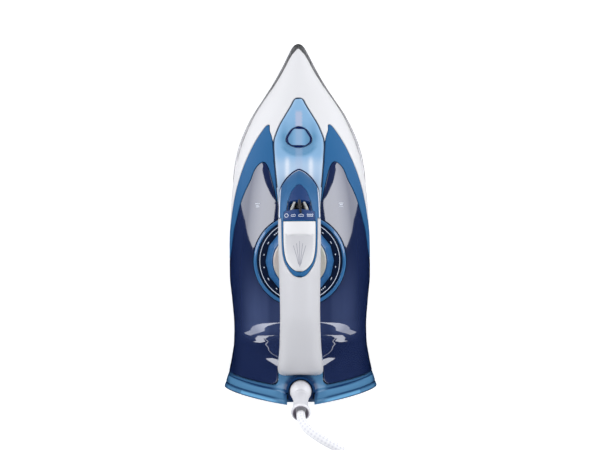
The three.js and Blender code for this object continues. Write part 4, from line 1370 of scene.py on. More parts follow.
def dial_knob():
    """The faceted grip ring, with softened corners, and a shallow seat for the pearl disc."""
    levels = [
        (KNOB_RADIUS, DIAL_RIM - 0.5), (KNOB_RADIUS, DIAL_RIM + 0.6), (KNOB_RADIUS - 0.3, DIAL_RIM + 1.4),
        (KNOB_TOP_RADIUS + 0.7, KNOB_TOP - 1.0), (KNOB_TOP_RADIUS, KNOB_TOP - 0.1), (22.2, KNOB_TOP),
        (21.8, KNOB_TOP - 0.1), (21.7, KNOB_TOP - 0.5), (0, KNOB_TOP - 0.5),
    ]
    sides = KNOB_SIDES * 12
    points, faces = lathe([(0, DIAL_RIM - 0.5), *levels], sides)
    angle = np.arctan2(points[:, 1], points[:, 0])
    sector = TURN / KNOB_SIDES
    within = np.abs((angle % sector) - sector / 2)
    flat = math.cos(sector / 2) / np.maximum(np.cos(within), 1e-6)
    reach = np.hypot(points[:, 0], points[:, 1])
    faceted = smoothstep((reach - 21.9) / 0.6)
    factor = 1 + faceted * (np.minimum(flat, 0.996) - 1)
    points[:, :2] *= factor[:, None]
    return placed(points, at(0, DIAL_Y, 0)), faces


def dial_line():
    """The pale line printed round the knob."""
    radii, levels = (32.0, 32.5), (DIAL_RIM - 0.1, DIAL_RIM + 0.08)
    profile = [(radii[i], levels[k]) for i, k in ((0, 0), (1, 0), (1, 1), (0, 1))]
    return dial_lathe(profile, closed=True)


DIAL_MARKS = 18
MARK_RADIUS = 29.2
DOT_SPACING = 0.058


def dial_marks():
    """Heat marks: one, two and three dots in turn, with short bars between them."""
    made = []
    for i in range(DIAL_MARKS):
        angle = TURN * (i + 0.5) / DIAL_MARKS
        if i % 3:
            made.append(dial_bar(angle, 2.2 if i % 3 == 1 else 1.4))
        dots = 0 if i % 3 else i // 3 % 3 + 1
        made += [dial_dot(angle + (k - (dots - 1) / 2) * DOT_SPACING) for k in range(dots)]
    return made


def on_dial(angle):
    """The place of a mark on the dial's rim, turned to face outward."""
    place = (MARK_RADIUS * math.cos(angle), DIAL_Y + MARK_RADIUS * math.sin(angle), DIAL_RIM)
    return at(*place) @ Matrix.Rotation(angle, 4, "Z")


def dial_dot(angle):
    profile = [(0, -0.1), (0.55, -0.1), (0.55, 0.05), (0.45, 0.09), (0, 0.1)]
    return lathe(profile, 16, on_dial(angle))


def dial_bar(angle, length):
    return block(-0.32, 0.32, -length / 2, length / 2, -0.1, 0.1, on_dial(angle), 0.06, 1)


def dial_cap():
    low = KNOB_TOP + 0.3
    profile = [
        (0, low), (20.9, low), (21.2, low + 0.3), (21.0, low + 0.9), (20.2, low + 1.2), (0, low + 1.35),
    ]
    return dial_lathe(rounded(profile, 0.3))


# ---------- handle ----------
def handle_edge(half, start, end, view=PLAN, grow=0.0):
    """A flat edge of the handle's skin that follows a half-width track in a frame."""
    v = stations(start, end)
    x = np.maximum(half(v) + grow, 1e-3)
    return HANDLE.unroll(on_handle(x, v, view))


def clearance(u, angle):
    """How high the handle's skin is over the body, in millimetres."""
    p = handle_point(u, angle)
    return p[..., 2] - body_top(p[..., 0], p[..., 1]) - GAP


def front_foot(angles):
    return bisect(lambda u: clearance(u, angles), np.zeros_like(angles), np.full_like(angles, 0.3))


def rear_foot(angles):
    return bisect(lambda u: -clearance(u, angles), np.full_like(angles, 0.85), np.ones_like(angles))


def rear_edge(start, end):
    angles = np.linspace(start, end, 160)
    return HANDLE.edge(rear_foot(angles), angles)


def front_edge(start, end):
    angles = np.linspace(start, end, 160)
    return HANDLE.edge(front_foot(angles), angles)


def cross_line(y, start, end):
    """A flat edge at a plan station, between two angles."""
    angles = np.linspace(start, end, 80)
    return HANDLE.edge(u_at(y, angles), angles)


def angle_of(x, y):
    return float(on_handle(np.array([x]), np.array([y]))[0, 1])


def u_at(y, angles):
    """How far along the handle its skin passes a plan station, at each angle."""
    ends = (np.full_like(angles, share) for share in UPPER_RUN)
    return bisect(lambda u: y - handle_point(u, angles)[..., 1], *ends)


def station_of(angle, y):
    return float(u_at(y, np.array([angle]))[0])


SHOULDER_Y = -4.9
BEZEL_TIP_Y = -47.2


def handle_upper():
    grow = SEAM_HALF
    y = SHOULDER_Y - grow
    corner = angle_of(float(bezel_half(y)) + grow, y)
    start = station_of(SEAM_ANGLE, y)
    end = float(rear_foot(np.array([SEAM_ANGLE]))[0])
    right = [
        handle_edge(bezel_half, BEZEL_TIP_Y - grow, y, grow=grow),
        cross_line(y, corner, SEAM_ANGLE),
        HANDLE.line((start, SEAM_ANGLE), (end, SEAM_ANGLE)),
        rear_edge(SEAM_ANGLE, QUARTER_TURN),
    ]
    return panel(HANDLE, [both_sides(right)], radius=0.6, pitch=2.0)


def handle_lower():
    low, high = HALF_TURN + SEAM_ANGLE, TURN - SEAM_ANGLE
    start = [float(front_foot(np.array([a]))[0]) for a in (low, high)]
    end = [float(rear_foot(np.array([a]))[0]) for a in (low, high)]
    loop = [
        HANDLE.line((start[1], high), (end[1], high)),
        rear_edge(high, low),
        HANDLE.line((end[0], low), (start[0], low)),
        front_edge(low, high),
    ]
    return panel(HANDLE, [loop], radius=0.6, pitch=2.2, relief=grip_ribs)


def grip_ribs(points, distance):
    """Shallow cross ribs under the grip, where the fingers hold it."""
    y = points[:, 1]
    amount = smoothstep((y + 95) / 8) * smoothstep((-32 - y) / 8) * smoothstep(distance / 5)
    return 0.35 * amount * (0.5 - 0.5 * np.cos(TURN * y / 5.5))


SHADOW_LINE_WIDTH = 0.5
LINE_WIDTH = 1.15
FOOT_RISE = 4.2
arch_half = track(
    (21.5, 0.3), (21, 1.7), (19, 3.5), (15, 6.2), (9.4, 7.9), (5, 9), (1, 9.9), (0.5, 10.1), (-0.2, 11.7),
    (-6.4, 11.8),
)
ARCH_TIP_Y, ARCH_REAR_Y = 21.5, -6.2


def bezel_side(margin):
    """The bezel's right side from its shoulder to the middle of its foot, set in by a margin in plan."""
    rise = FOOT_RISE * margin / HANDLE_LENGTH

    def side_angle(u):
        return angle_at(grip_width(u) - margin, u)

    def behind(angle):
        return angle - side_angle(front_foot(angle) + rise)

    corner = bisect(behind, np.array([SEAM_ANGLE]), np.array([HALF_TURN / 3]))
    low = float(front_foot(corner)[0]) + rise
    y = SHOULDER_Y + SEAM_HALF
    shoulder = bisect(
        lambda u: y - handle_point(u, side_angle(u))[..., 1], np.array([low]), np.array([UPPER_RUN[1]])
    )
    u = np.linspace(float(shoulder[0]), low, 80)
    angles = np.linspace(float(corner[0]), QUARTER_TURN, 160)
    return [
        HANDLE.edge(u, side_angle(u)),
        HANDLE.edge(front_foot(angles) + rise, angles),
    ]


def bezel_frame(width, top=0.0, thickness=WALL):
    """A line of one width in plan that runs up both sides of the bezel and round its foot."""
    y = SHOULDER_Y + SEAM_HALF
    foot = float(front_foot(np.array([SEAM_ANGLE]))[0])
    outer = [
        HANDLE.line((station_of(SEAM_ANGLE, y), SEAM_ANGLE), (foot, SEAM_ANGLE)),
        front_edge(SEAM_ANGLE, QUARTER_TURN),
    ]
    loop = band_loop(outer, bezel_side(width))
    return panel(HANDLE, [loop], top=top, thickness=thickness, radius=0.2, pitch=1.0, spacing=0.6)


BEZEL_THICKNESS = 0.5
FINE_GAP = 0.12
TRIGGER_CLEARANCE = 0.45


def handle_bezel():
    """The blue band round the arched field, which runs back in a U round the trigger."""
    grow = SEAM_HALF
    side = bezel_side(LINE_WIDTH + FINE_GAP)
    y = SHOULDER_Y + grow
    corner = angle_of(float(bezel_half(y)) - grow, y)
    flat_corner = HANDLE.unroll([(station_of(corner, y), corner)])[0]
    right = [
        handle_edge(bezel_half, BEZEL_TIP_Y + grow, y, grow=-grow),
        np.stack([flat_corner, side[0][0]]),
        *side,
    ]
    holes = [trigger_outline(TRIGGER_CLEARANCE), arch_outline(FINE_GAP)]
    outline = both_sides(right)
    return panel(
        HANDLE, [outline, *holes], thickness=BEZEL_THICKNESS, radius=0.3, pitch=1.3, spacing=0.7
    )


def across_line(x, v, view=PLAN):
    """A flat edge from x to the middle at one station of a frame."""
    x = np.linspace(x, 1e-3, 40)
    return HANDLE.unroll(on_handle(x, np.full_like(x, v), view))


def arch_outline(grow):
    rear = ARCH_REAR_Y - grow
    right = [
        handle_edge(arch_half, ARCH_TIP_Y + grow, rear, grow=grow),
        across_line(float(arch_half(rear)) + grow, rear),
    ]
    return both_sides(right)


def arched_field():
    """The darker field with the window in it and the steam marks behind."""
    return panel(
        HANDLE, [arch_outline(0.0), window_outline(0.0)], top=0.25, radius=0.3, pitch=1.2, spacing=0.6
    )


FOOT_SHADOW_RADIUS = 0.55


def foot_shadow_line():
    """A dark line round the handle's foot on the cover: painted shadow of the gap between them."""
    angles = np.linspace(-0.5, HALF_TURN + 0.5, 160)
    foot = handle_point(front_foot(np.clip(angles, 0, HALF_TURN)), angles)
    x, y = foot[:, 0], foot[:, 1]
    ahead = np.gradient(np.stack([x, y], -1), axis=0)
    out = unit(np.stack([ahead[:, 1], -ahead[:, 0]], -1))
    x, y = x + out[:, 0] * FOOT_SHADOW_RADIUS, y + out[:, 1] * FOOT_SHADOW_RADIUS
    path = np.stack([x, y, body_top(x, y) + 0.05], -1)
    return sweep_tube(path, FOOT_SHADOW_RADIUS, 12)


TRIGGER_SPAN = (-43.2, -7.3)


def trigger_outline(grow):
    rear, front = TRIGGER_SPAN[0] - grow, TRIGGER_SPAN[1] + grow
    right = [
        handle_edge(trigger_half, rear, front, grow=grow),
        across_line(float(trigger_half(front)) + grow, front),
    ]
    return both_sides(right)


def window_outline(grow):
    x, v, corner = 8.4 + grow, 5.2 + grow, 1.2
    half = track(
        (-v, x - corner), (-v + corner * 0.3, x - corner * 0.3), (-v + corner, x), (v - corner, x),
        (v - corner * 0.3, x - corner * 0.3), (v, x - corner),
    )
    right = [
        across_line(x - corner, -v, WINDOW_FRAME)[::-1],
        handle_edge(half, -v, v, WINDOW_FRAME),
        across_line(x - corner, v, WINDOW_FRAME),
    ]
    return both_sides(right)


TRIGGER_TOP = -0.4
TRIGGER_THICKNESS = 1.1
STEP_Y = -17.1
PAD_DEPTH = 0.8


def pad_step(y):
    """How deep the thumb pad is at a station."""
    return PAD_DEPTH * smoothstep(STEP_Y - y + 0.5)


def trigger_relief(points, distance):
    """The thumb pad behind the trigger's step."""
    return pad_step(points[:, 1]) * smoothstep((distance - 0.8) / 2.2)


def steam_trigger():
    return panel(
        HANDLE, [trigger_outline(0.0)], top=TRIGGER_TOP, thickness=TRIGGER_THICKNESS, radius=0.9,
        pitch=1.3, spacing=0.7, relief=trigger_relief,
    )


def ribbon(path, out, lift, width, thickness=0.12):
    """A thin flat mark laid along points of a surface, each with its outward direction."""
    side = unit(np.cross(np.gradient(path, axis=0), out)) * width / 2
    top, low = path + out * lift, path + out * (lift - thickness)
    return bar([top - side, top + side, low + side, low - side])


def handle_mark(points, inset, width, view=PLAN, relief=None):
    """A ribbon through plan points of the handle's outer skin."""
    xy = np.array(points, float)
    length = run_length(xy)
    steps = np.linspace(0, length[-1], max(int(length[-1] / 0.35), 2) + 1)
    x, v = points_at(xy, length, steps).T
    u, angle = on_handle(x, v, view).T
    sunk = inset if relief is None else inset + relief(handle_point(u, angle))
    around = handle_point(u, angle + 0.01) - handle_point(u, angle - 0.01)
    onward = handle_point(u + 0.002, angle) - handle_point(u - 0.002, angle)
    out = np.cross(onward, around)
    out = unit(out * np.sign(out[:, 2])[:, None])
    return ribbon(handle_point(u, angle, sunk), out, 0.05, width)


FAN_LINES = 5


def trigger_fan():
    """Five fine lines that fan out from the trigger's rear end."""
    made = []
    for i in range(FAN_LINES):
        lean = (i - (FAN_LINES - 1) / 2) / ((FAN_LINES - 1) / 2)
        top_y = -21.5 - 3.2 * abs(lean)
        line = [(0.9 * lean, -40.0 + 2.2 * abs(lean)), (2.0 * lean, -33.0), (4.6 * lean, top_y)]
        made.append(handle_mark(line, TRIGGER_TOP, 0.36, relief=lambda skin: pad_step(skin[:, 1])))
    return made


ICON_Y = -2.9
ICON_PLACES = (-9.7, -4.6, 1.2, 7.9)


def circle_points(x, y, radius, start=0, end=360, count=14):
    return [
        (x + radius * math.cos(math.radians(a)), y + radius * math.sin(math.radians(a)))
        for a in np.linspace(start, end, count)
    ]


def steam_icons():
    """Four steam settings: off, a small puff, a larger puff and the most."""
    off, low, mid, most = ICON_PLACES
    strokes = [
        circle_points(off, ICON_Y, 1.35),
        circle_points(low - 0.8, ICON_Y - 0.1, 0.75, 20, 200, 8),
        circle_points(low + 0.7, ICON_Y + 0.1, 0.85, -20, 190, 8),
        [(low - 1.5, ICON_Y - 0.7), (low + 1.5, ICON_Y - 0.7)],
        circle_points(mid - 1.1, ICON_Y, 0.7, 20, 200, 8),
        circle_points(mid + 0.1, ICON_Y + 0.3, 0.8, 0, 190, 8),
        circle_points(mid + 1.3, ICON_Y, 0.7, -20, 160, 8),
        [(mid - 1.9, ICON_Y - 0.7), (mid + 2.0, ICON_Y - 0.7)],
        [(most - 2.2, ICON_Y - 0.7), (most + 2.4, ICON_Y - 0.7)],
    ]
    strokes += [circle_points(most + dx, ICON_Y + 0.5, 0.55, 0, 360, 9) for dx in (-1.6, 0.1, 1.8)]
    return [handle_mark(stroke, 0.25, 0.3) for stroke in strokes]


def view_matrix(view, v=0.0, turn=0.0):
    """A 4x4 matrix for a frame on the handle, moved along it and turned about its normal, in degrees."""
    seat, along, out = view
    base = Matrix([*zip((1, 0, 0), along, out, seat), (0, 0, 0, 1)])
    return base @ at(0, v, 0) @ Matrix.Rotation(math.radians(turn), 4, "Z")


def selector_bed():
    """The floor of the lever's window and the walls at its two ends."""
    matrix = view_matrix(WINDOW_FRAME)
    ends = [block(x - 0.2, x + 0.2, -5.2, 5.2, -6.0, -1.2, matrix, 0.1, 1) for x in (-8.7, 8.7)]
    return [block(-8.0, 8.0, -5.3, 4.3, -6.8, -5.6, matrix, 0.3, 2), *ends]


def window_bars():
    """Two slanted pearl cheeks beside the lever."""
    made = []
    for side in (-1, 1):
        lean = view_matrix(WINDOW_FRAME) @ at(side * 4.9, -0.3, 0)
        lean = lean @ Matrix.Rotation(math.radians(side * 17), 4, "Z")
        made.append(block(-0.95, 0.95, -4.3, 4.6, -5.6, -1.4, lean, 0.6, 3))
    return made


LEVER_PIVOT_V = 1.6
LEVER_REST = 4.5


def steam_selector():
    matrix = view_matrix(WINDOW_FRAME, LEVER_PIVOT_V, LEVER_REST)
    hub = [(0, -4.6), (2.4, -4.6), (2.4, -3.6), (1.2, -3.2), (1.2, 1.1), (0, 1.2)]
    arm = [(0.5, -12.2), (0.8, -11.4), (1.05, 0.2), (0.6, 1.1)]
    arm = [(-0.5, -12.2), *arm, (-0.6, 1.1), (-1.05, 0.2), (-0.8, -11.4)]
    return [lathe(rounded(hub, 0.3), 40, matrix), prism(arm, 1.0, 2.6, matrix, 0.3)]


def prism(outline, z0, z1, matrix=None, radius=0.3, steps=2):
    """An upright prism over an outline, with rounded edges."""
    work = bmesh.new()
    base = work.faces.new([work.verts.new((x, y, z0)) for x, y in outline])
    for v in bmesh.ops.extrude_face_region(work, geom=[base])["geom"]:
        if isinstance(v, bmesh.types.BMVert):
            v.co.z = z1
    sharp = [e for e in work.edges if len(e.link_faces) == 2 and e.calc_face_angle() > 0.6]
    soften(work, sharp, radius, steps)
    points, faces = shape_of(work)
    return placed(points, matrix), faces


# ---------- heel cover ----------
NOTCH_HALF = 10.6
NOTCH_FRONT_Y = -137.0
NOTCH_RADIUS = BALL_RADIUS + 1.2
HEEL_EDGE_RADIUS = 1.6
NOTCH_FLOOR_Z = 93.0
SCREW_X, SCREW_Z = 40.0, 28.0


def notch_outline():
    """The notch's right half in plan, from the rear edge to the middle of its round end."""
    meet = math.asin(-(NOTCH_FRONT_Y - BALL.y) / NOTCH_RADIUS)
    angles = np.linspace(-meet, QUARTER_TURN, 40)
    arc = [(NOTCH_RADIUS * math.cos(a), BALL.y + NOTCH_RADIUS * math.sin(a)) for a in angles]
    return [(NOTCH_HALF, HEEL_Y), (NOTCH_HALF, NOTCH_FRONT_Y), *arc]


def plan_polyline(points):
    """A flat edge of the body's skin through plan points, in 200 even steps."""
    xy = np.array(points, float)
    length = run_length(xy)
    return on_body(*points_at(xy, length, np.linspace(0, length[-1], 200)).T)


def heel_relief(points, distance):
    """Two grooves that run across the heel, parallel to its rear edge."""
    y = points[:, 1] - heel_shift(points[:, 0])
    relief = np.zeros(len(points))
    for centre, width, depth in ((-134.6, 0.5, 0.5), (-141.1, 0.6, 0.7)):
        relief += depth * np.exp(-(((y - centre) / width) ** 2)) * (np.abs(points[:, 0]) > NOTCH_HALF + 1.5)
    return relief


def heel_shift(x):
    """The bands lie a little further back towards the middle."""
    return 1.2 * (np.abs(x) / 60.0) - 0.6


def heel_cover():
    grow = SEAM_HALF
    front = TANK_REAR_Y - grow
    right = [
        plan_polyline([(0, TONGUE_Y), (TONGUE_HALF, TONGUE_Y)]),
        plan_polyline([(TONGUE_HALF, TONGUE_Y), (TONGUE_HALF, front + TONGUE_FILLET)]),
        plan_polyline(corner_arc(TONGUE_HALF, front, TONGUE_FILLET)),
        BODY.line((front, share_at(TONGUE_HALF + TONGUE_FILLET, front)), (front, 0)),
        BODY.line((front, 0), (HEEL_Y, 0)),
        BODY.line((HEEL_Y, 0), (HEEL_Y, share_at(NOTCH_HALF, HEEL_Y))),
        plan_polyline(notch_outline()),
    ]
    settings = {"radius": HEEL_EDGE_RADIUS, "pitch": 1.0, "spacing": 0.8, "relief": heel_relief}
    top = panel(BODY, [both_sides(right)], **settings)
    return [top, heel_back(), notch_wall()]


def heel_back():
    """The flat rear face that the iron stands on."""
    samples = 1 - np.linspace(1, 0, 200) ** CROWN_CROWDING
    line = body_point(np.full(200, HEEL_Y), samples, HEEL_EDGE_RADIUS)[:, [0, 2]]
    line = line[(line[:, 0] > NOTCH_HALF) | (line[:, 1] < 60)]
    line[0, 1] = SKIRT_BOTTOM
    notch = np.array([line[-1], [NOTCH_HALF, line[-1, 1]], [NOTCH_HALF, NOTCH_FLOOR_Z], [0, NOTCH_FLOOR_Z]])
    right = [np.array([[0, SKIRT_BOTTOM], line[0]]), line, notch]
    loop = np.concatenate([resample(e, 1.2) for e in both_sides(right)])
    loops = [loop, screw_hole(SCREW_X), screw_hole(-SCREW_X)]
    flat, faces = triangulate([tidy_loop(loop, 0.1) for loop in loops], [], 3.5)
    outer = np.stack([flat[:, 0], np.full(len(flat), HEEL_Y), flat[:, 1]], -1)
    return slab(outer, outer + (0, WALL, 0), faces)


def circle(x, y, radius, count):
    """The corners of a round hole."""
    angles = np.linspace(0, TURN, count + 1)[:-1]
    return np.stack([x + radius * np.cos(angles), y + radius * np.sin(angles)], -1)


def screw_hole(x):
    return circle(x, SCREW_Z, 3.6, 32)


def notch_wall():
    """The upright wall of the notch that the cord's ball sits in."""
    right = notch_outline()
    right[0] = (NOTCH_HALF, HEEL_Y + 0.3)
    line = np.array(right + [(-x, y) for x, y in reversed(right[:-1])])
    out = np.gradient(line, axis=0)
    out = unit(np.stack([out[:, 1], -out[:, 0]], -1))
    top, low = DECK_Z - 1.4, NOTCH_FLOOR_Z - 1
    levels = ((0.0, top), (0.0, low), (1.6, low), (1.6, top))
    return bar([np.column_stack([line + out * push, np.full(len(line), z)]) for push, z in levels])


# lightness across the heel: the plastic's own bands, with painted shade in the grooves
band_tone_and_shade = track(
    (-145.2, 0.0), (-144.6, 0.05), (-144.0, 1.0), (-142.0, 0.85), (-141.5, 0.1), (-140.3, 0.1),
    (-139.7, 0.45), (-138, 0.5), (-135.5, 0.55), (-134.9, 0.0), (-134.1, 0.0), (-133.6, 0.25), (-120, 0.3),
)


def heel_tone_and_shade(x, y, z):
    """How light each point of the heel is: 0 in the deep grooves, 1 in the thin outer band. The dark
    grooves, the darker dimple round the ball, the darker flanks and the dimmer parts below 60 mm are
    painted shade.
    """
    value = band_tone_and_shade(y - heel_shift(x))
    centre = smoothstep((22 - np.abs(x)) / 6)
    round_ball = smoothstep((14.5 - np.hypot(x, y - BALL.y)) / 3)
    value = value * (1 - centre) + centre * (0.42 - 0.4 * round_ball)
    value = value * (1 - 0.75 * smoothstep((np.abs(x) - 57) / 5))
    return np.where(z < 60, np.minimum(value, 0.5), value)


# ---------- cord entry ----------
GUARD_LEAN = 90 - 71


def cord_ball():
    angles = np.linspace(-QUARTER_TURN, QUARTER_TURN, 33)
    profile = [(BALL_RADIUS * math.cos(a), BALL_RADIUS * math.sin(a)) for a in angles]
    profile[0], profile[-1] = (0, -BALL_RADIUS), (0, BALL_RADIUS)
    return lathe(profile, 64, at(*BALL))


def guard_matrix():
    return at(*BALL) @ Matrix.Rotation(math.radians(GUARD_LEAN), 4, "X")


def cord_guard():
    """The tapered bend guard, with a flared mouth that the cord comes out of."""
    profile = [
        (0, 7.4), (5.0, 7.4), (6.4, 8.6), (5.5, 11), (5.4, 22), (5.9, 26), (6.9, 29.3), (7.2, 31.4),
        (6.7, 32.7), (5.7, 32.6), (4.9, 30.6), (4.0, 28.0), (3.7, 25.5), (0, 25.0),
    ]
    return lathe(rounded(profile, 0.8, 4), 72, guard_matrix())


def guard_mouth():
    """A grey lining inside the guard's mouth: painted shade of its deep recess."""
    profile = [(5.8, 32.8), (4.95, 30.6), (4.05, 28.0), (3.85, 28.0), (4.7, 30.8), (5.5, 32.95)]
    return lathe(profile, 72, guard_matrix(), closed=True)


# ---------- cord, coil and plug ----------
CORD_EXIT = (0, -145.9, 134.1)
CORD_ROUTE = (
    CORD_EXIT, (0.6, -148.8, 140.6), (4.2, -153.5, 147.2), (10.8, -158, 151), (17.5, -162, 152),
    (25, -166.5, 150.5), (32, -172.5, 146), (37, -179, 137), (40.5, -185, 122), (44, -191.5, 103),
    (47.5, -198.5, 83), (51.5, -206.5, 64), (57.5, -215.5, 46.5), (66, -224.5, 32), (76, -232.5, 23),
)
TAIL_ROUTE = (
    (23.5, -304.5, 3.7), (15, -305, 4.1), (6, -303.6, 6.8), (-1.4, -300.8, 12.4), (-6.8, -297.2, 17.2),
    (-11.6, -293.2, 18.4),
)
COIL_X, COIL_Y = 54.0, -263.0
LAYER_PITCH = 6.2
TURN_RADII = (30.7, 37.2, 43.7)
LAYER_HEIGHTS = tuple(CORD_RADIUS + 0.3 + LAYER_PITCH * k for k in range(3))
COIL_TURNS = (
    # radius and layer of each turn, from the iron's end to the plug's
    (1, 2), (2, 2), (2, 1), (1, 1), (0, 1), (0, 0), (1, 0), (2, 0),
)
COIL_START = math.atan2(CORD_ROUTE[-1][1] - COIL_Y, CORD_ROUTE[-1][0] - COIL_X)
COIL_LENGTH_TURNS = 7.4
STEPS_PER_TURN = 48
SHIFT_SHARE = 0.16


def coil_points():
    """The wound turns: each keeps its radius, then steps over to the next one in the same short sector."""
    made = []
    for i in range(1, int(COIL_LENGTH_TURNS * STEPS_PER_TURN) + 1):
        n = i / STEPS_PER_TURN
        k = min(int(n), len(COIL_TURNS) - 1)
        after = min(k + 1, len(COIL_TURNS) - 1)
        share = float(smoothstep((n - k - (1 - SHIFT_SHARE)) / SHIFT_SHARE))
        radius = TURN_RADII[COIL_TURNS[k][0]] * (1 - share) + TURN_RADII[COIL_TURNS[after][0]] * share
        z = LAYER_HEIGHTS[COIL_TURNS[k][1]] * (1 - share) + LAYER_HEIGHTS[COIL_TURNS[after][1]] * share
        z += (CORD_ROUTE[-1][2] - LAYER_HEIGHTS[2]) * (1 - float(smoothstep(n / 0.16)))
        angle = COIL_START - TURN * n
        made.append((COIL_X + radius * math.cos(angle), COIL_Y + radius * math.sin(angle), z))
    return made


CORD_STEP = 1.1
CORD_SIDES = 24
STRAND_RELIEF = 0.16


def cord_path():
    bridge = [(38, -306.4, 3.6), (31, -305.4, 3.6)]
    return smooth_path([*CORD_ROUTE, *coil_points(), *bridge, *TAIL_ROUTE], CORD_STEP)


def make_cord(material):
    """The braided cord along its path: two sets of strands stand out of it by turns."""
    path = cord_path()
    angles = np.arange(CORD_SIDES) * TURN / CORD_SIDES
    travel = np.arange(len(path))[:, None] * CORD_STEP / BRAID_PITCH * TURN
    turns = BRAID_STRANDS * angles[None, :]
    weave = np.sin(turns + travel) * np.sin(turns - travel)
    radius = CORD_RADIUS - STRAND_RELIEF / 2 + STRAND_RELIEF * weave / 2
    points, faces = sweep_tube(path, radius, CORD_SIDES)
    cord = mesh_object("mains_cord", [tuple(p * MM) for p in points], faces, material)
    cord.data.shade_smooth()
    paint_cord_uv(cord.data)
    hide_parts("cord", "cord_coil", "cord_tail")
    return cord, path


def paint_cord_uv(mesh):
    """Round and along the cord, one unit for each turn round and each braid pitch."""
    layer = mesh.uv_layers.new(name="cord_uv")
    for face in mesh.polygons:
        if len(face.vertices) != 4:
            continue
        sides = [v % CORD_SIDES for v in face.vertices]
        crosses_seam = max(sides) - min(sides) > 1
        for loop, vertex in zip(face.loop_indices, face.vertices):
            ring, k = divmod(vertex, CORD_SIDES)
            around = (CORD_SIDES if crosses_seam and k == 0 else k) / CORD_SIDES
            layer.data[loop].uv = (around, ring * CORD_STEP / BRAID_PITCH)


TIE_HALF = 4.5


def coil_tie():
    """The strap round the coil's turns, with a buckle bead."""
    low, high = TURN_RADII[0] - CORD_RADIUS, TURN_RADII[2] + CORD_RADIUS
    top = LAYER_HEIGHTS[2] + CORD_RADIUS
    outline = [(low - 0.4, 0.7), (high + 0.4, 0.7), (high + 0.4, top + 0.3), (low - 0.4, top + 0.3)]
    inner = rounded(outline, 3.0, 6, closed=True)
    middle = np.mean(inner, axis=0)
    outer = [p + (p - middle) / np.linalg.norm(p - middle) * 1.0 for p in inner]
    count = len(inner)
    points, faces = [], []
    for y, ring in ((-TIE_HALF, outer), (TIE_HALF, outer), (TIE_HALF, inner), (-TIE_HALF, inner)):
        points += [(-r, y, max(z, 0.15)) for r, z in ring]
    for k in range(4):
        for i in range(count):
            j, after = (i + 1) % count, (k + 1) % 4
            faces.append((k * count + i, k * count + j, after * count + j, after * count + i))
    return placed(np.array(points, float), at(COIL_X, COIL_Y, 0)), faces


PLUG_PLACE, PLUG_HEADING = (-12.6, -292.4, 18.6), 50
PLUG_RADIUS, PLUG_FACE = 18.2, 52.0
PIN_LENGTH, PIN_RADIUS, PIN_SPACING = 19.0, 2.4, 19.0


def plug_matrix():
    turn = Matrix.Rotation(math.radians(PLUG_HEADING), 4, "Z") @ Matrix.Rotation(-QUARTER_TURN, 4, "X")
    return at(*PLUG_PLACE) @ turn


def plug_body():
    """A round two-pin plug with a ribbed bend guard and a shallow rim round its face."""
    ribs = []
    for i in range(6):
        z = 2.0 + 2.2 * i
        r = 5.0 + 1.5 * z / 16
        ribs += [(r, z), (r, z + 1.2), (r - 0.7, z + 1.4), (r - 0.7, z + 2.0)]
    face, radius = PLUG_FACE, PLUG_RADIUS
    profile = [
        (0, 0), (4.6, 0), (5.0, 0.8), *ribs, (6.6, 16), (9.5, 18.2), (13, 21.5), (15.5, 26), (17.2, 32),
        (radius - 0.3, 36.5), (radius, 39), (radius, face - 1.2), (radius - 1.2, face), (radius - 3, face),
        (radius - 3.4, face - 0.6), (0, face - 0.6),
    ]
    return lathe(rounded(profile, 0.35, 2), 80, plug_matrix())


def plug_pin(side):
    matrix = plug_matrix() @ at(side * PIN_SPACING / 2)
    base, end = PLUG_FACE - 0.5, PLUG_FACE + PIN_LENGTH
    profile = [
        (0, base), (PIN_RADIUS, base), (PIN_RADIUS, end - 2.6), (PIN_RADIUS - 0.3, end - 1),
        (PIN_RADIUS / 2, end), (0, end),
    ]
    return lathe(rounded(profile, 0.4, 3), 40, matrix)


# ---------- soleplate and screws ----------
SOLE_REAR_Y = -139.5
SOLE_RIM = 1.2
STEAM_HOLE_RADIUS = 1.6


def soleplate():
    """The metal sole: rounded rim, and steam holes that go through it."""
    y = stations(SOLE_REAR_Y, NOSE_Y - 0.02, 300)
    right = [
        np.array([[0, SOLE_REAR_Y], [float(sole_half_width(SOLE_REAR_Y)), SOLE_REAR_Y]]),
        np.stack([sole_half_width(y), y], -1),
    ]
    loop = tidy_loop(np.concatenate([resample(e, 1.2) for e in both_sides(right)]), 0.1)
    spots = [(0, 96), (0, 112), (0, 124)]
    for hole_y in np.linspace(18, 108, 7):
        spots += [(side * (float(sole_half_width(hole_y)) - 9), hole_y) for side in (-1, 1)]
    holes = [circle(x, hole_y, STEAM_HOLE_RADIUS, 20) for x, hole_y in spots]
    flat, faces = triangulate([loop, *holes], [SOLE_RIM * share for share in EDGE_STEPS], 5.0)
    rim = roundover(measure(flat, [loop])[1], SOLE_RIM)
    chamfer = 0.5 * np.clip(1 - measure(flat, holes)[1] / 0.6, 0, 1)
    top = np.column_stack([flat, SOLE_TOP - rim * 0.7])
    low = np.column_stack([flat, np.maximum(rim * 0.9, chamfer)])
    return slab(top, low, faces)


def heel_screw(x):
    """A pan-head screw with a cross recess, sunk in the rear face."""
    matrix = at(x, HEEL_Y, SCREW_Z) @ Matrix.Rotation(-QUARTER_TURN, 4, "X")
    profile = [
        (0, 1.1), (1.6, 1.05), (2.7, 1.4), (3.1, 2.1), (3.1, 3.4), (1.5, 3.4), (1.5, 11), (0.6, 11.5),
        (0, 11.5),
    ]
    head = lathe(rounded(profile, 0.2, 2), 40, matrix)
    slots = [
        block(-1.7, 1.7, -0.3, 0.3, 0.95, 1.25, matrix @ Matrix.Rotation(turn, 4, "Z"), 0.1, 1)
        for turn in (0, QUARTER_TURN)
    ]
    return [head, *slots]


# ---------- the whole iron ----------
def bezel_line():
    return bezel_frame(LINE_WIDTH)


# A dark navy line at the bezel's outer edge: painted shadow of the gap round it.
def bezel_shadow_line():
    return bezel_frame(SHADOW_LINE_WIDTH, -0.12, 0.5)


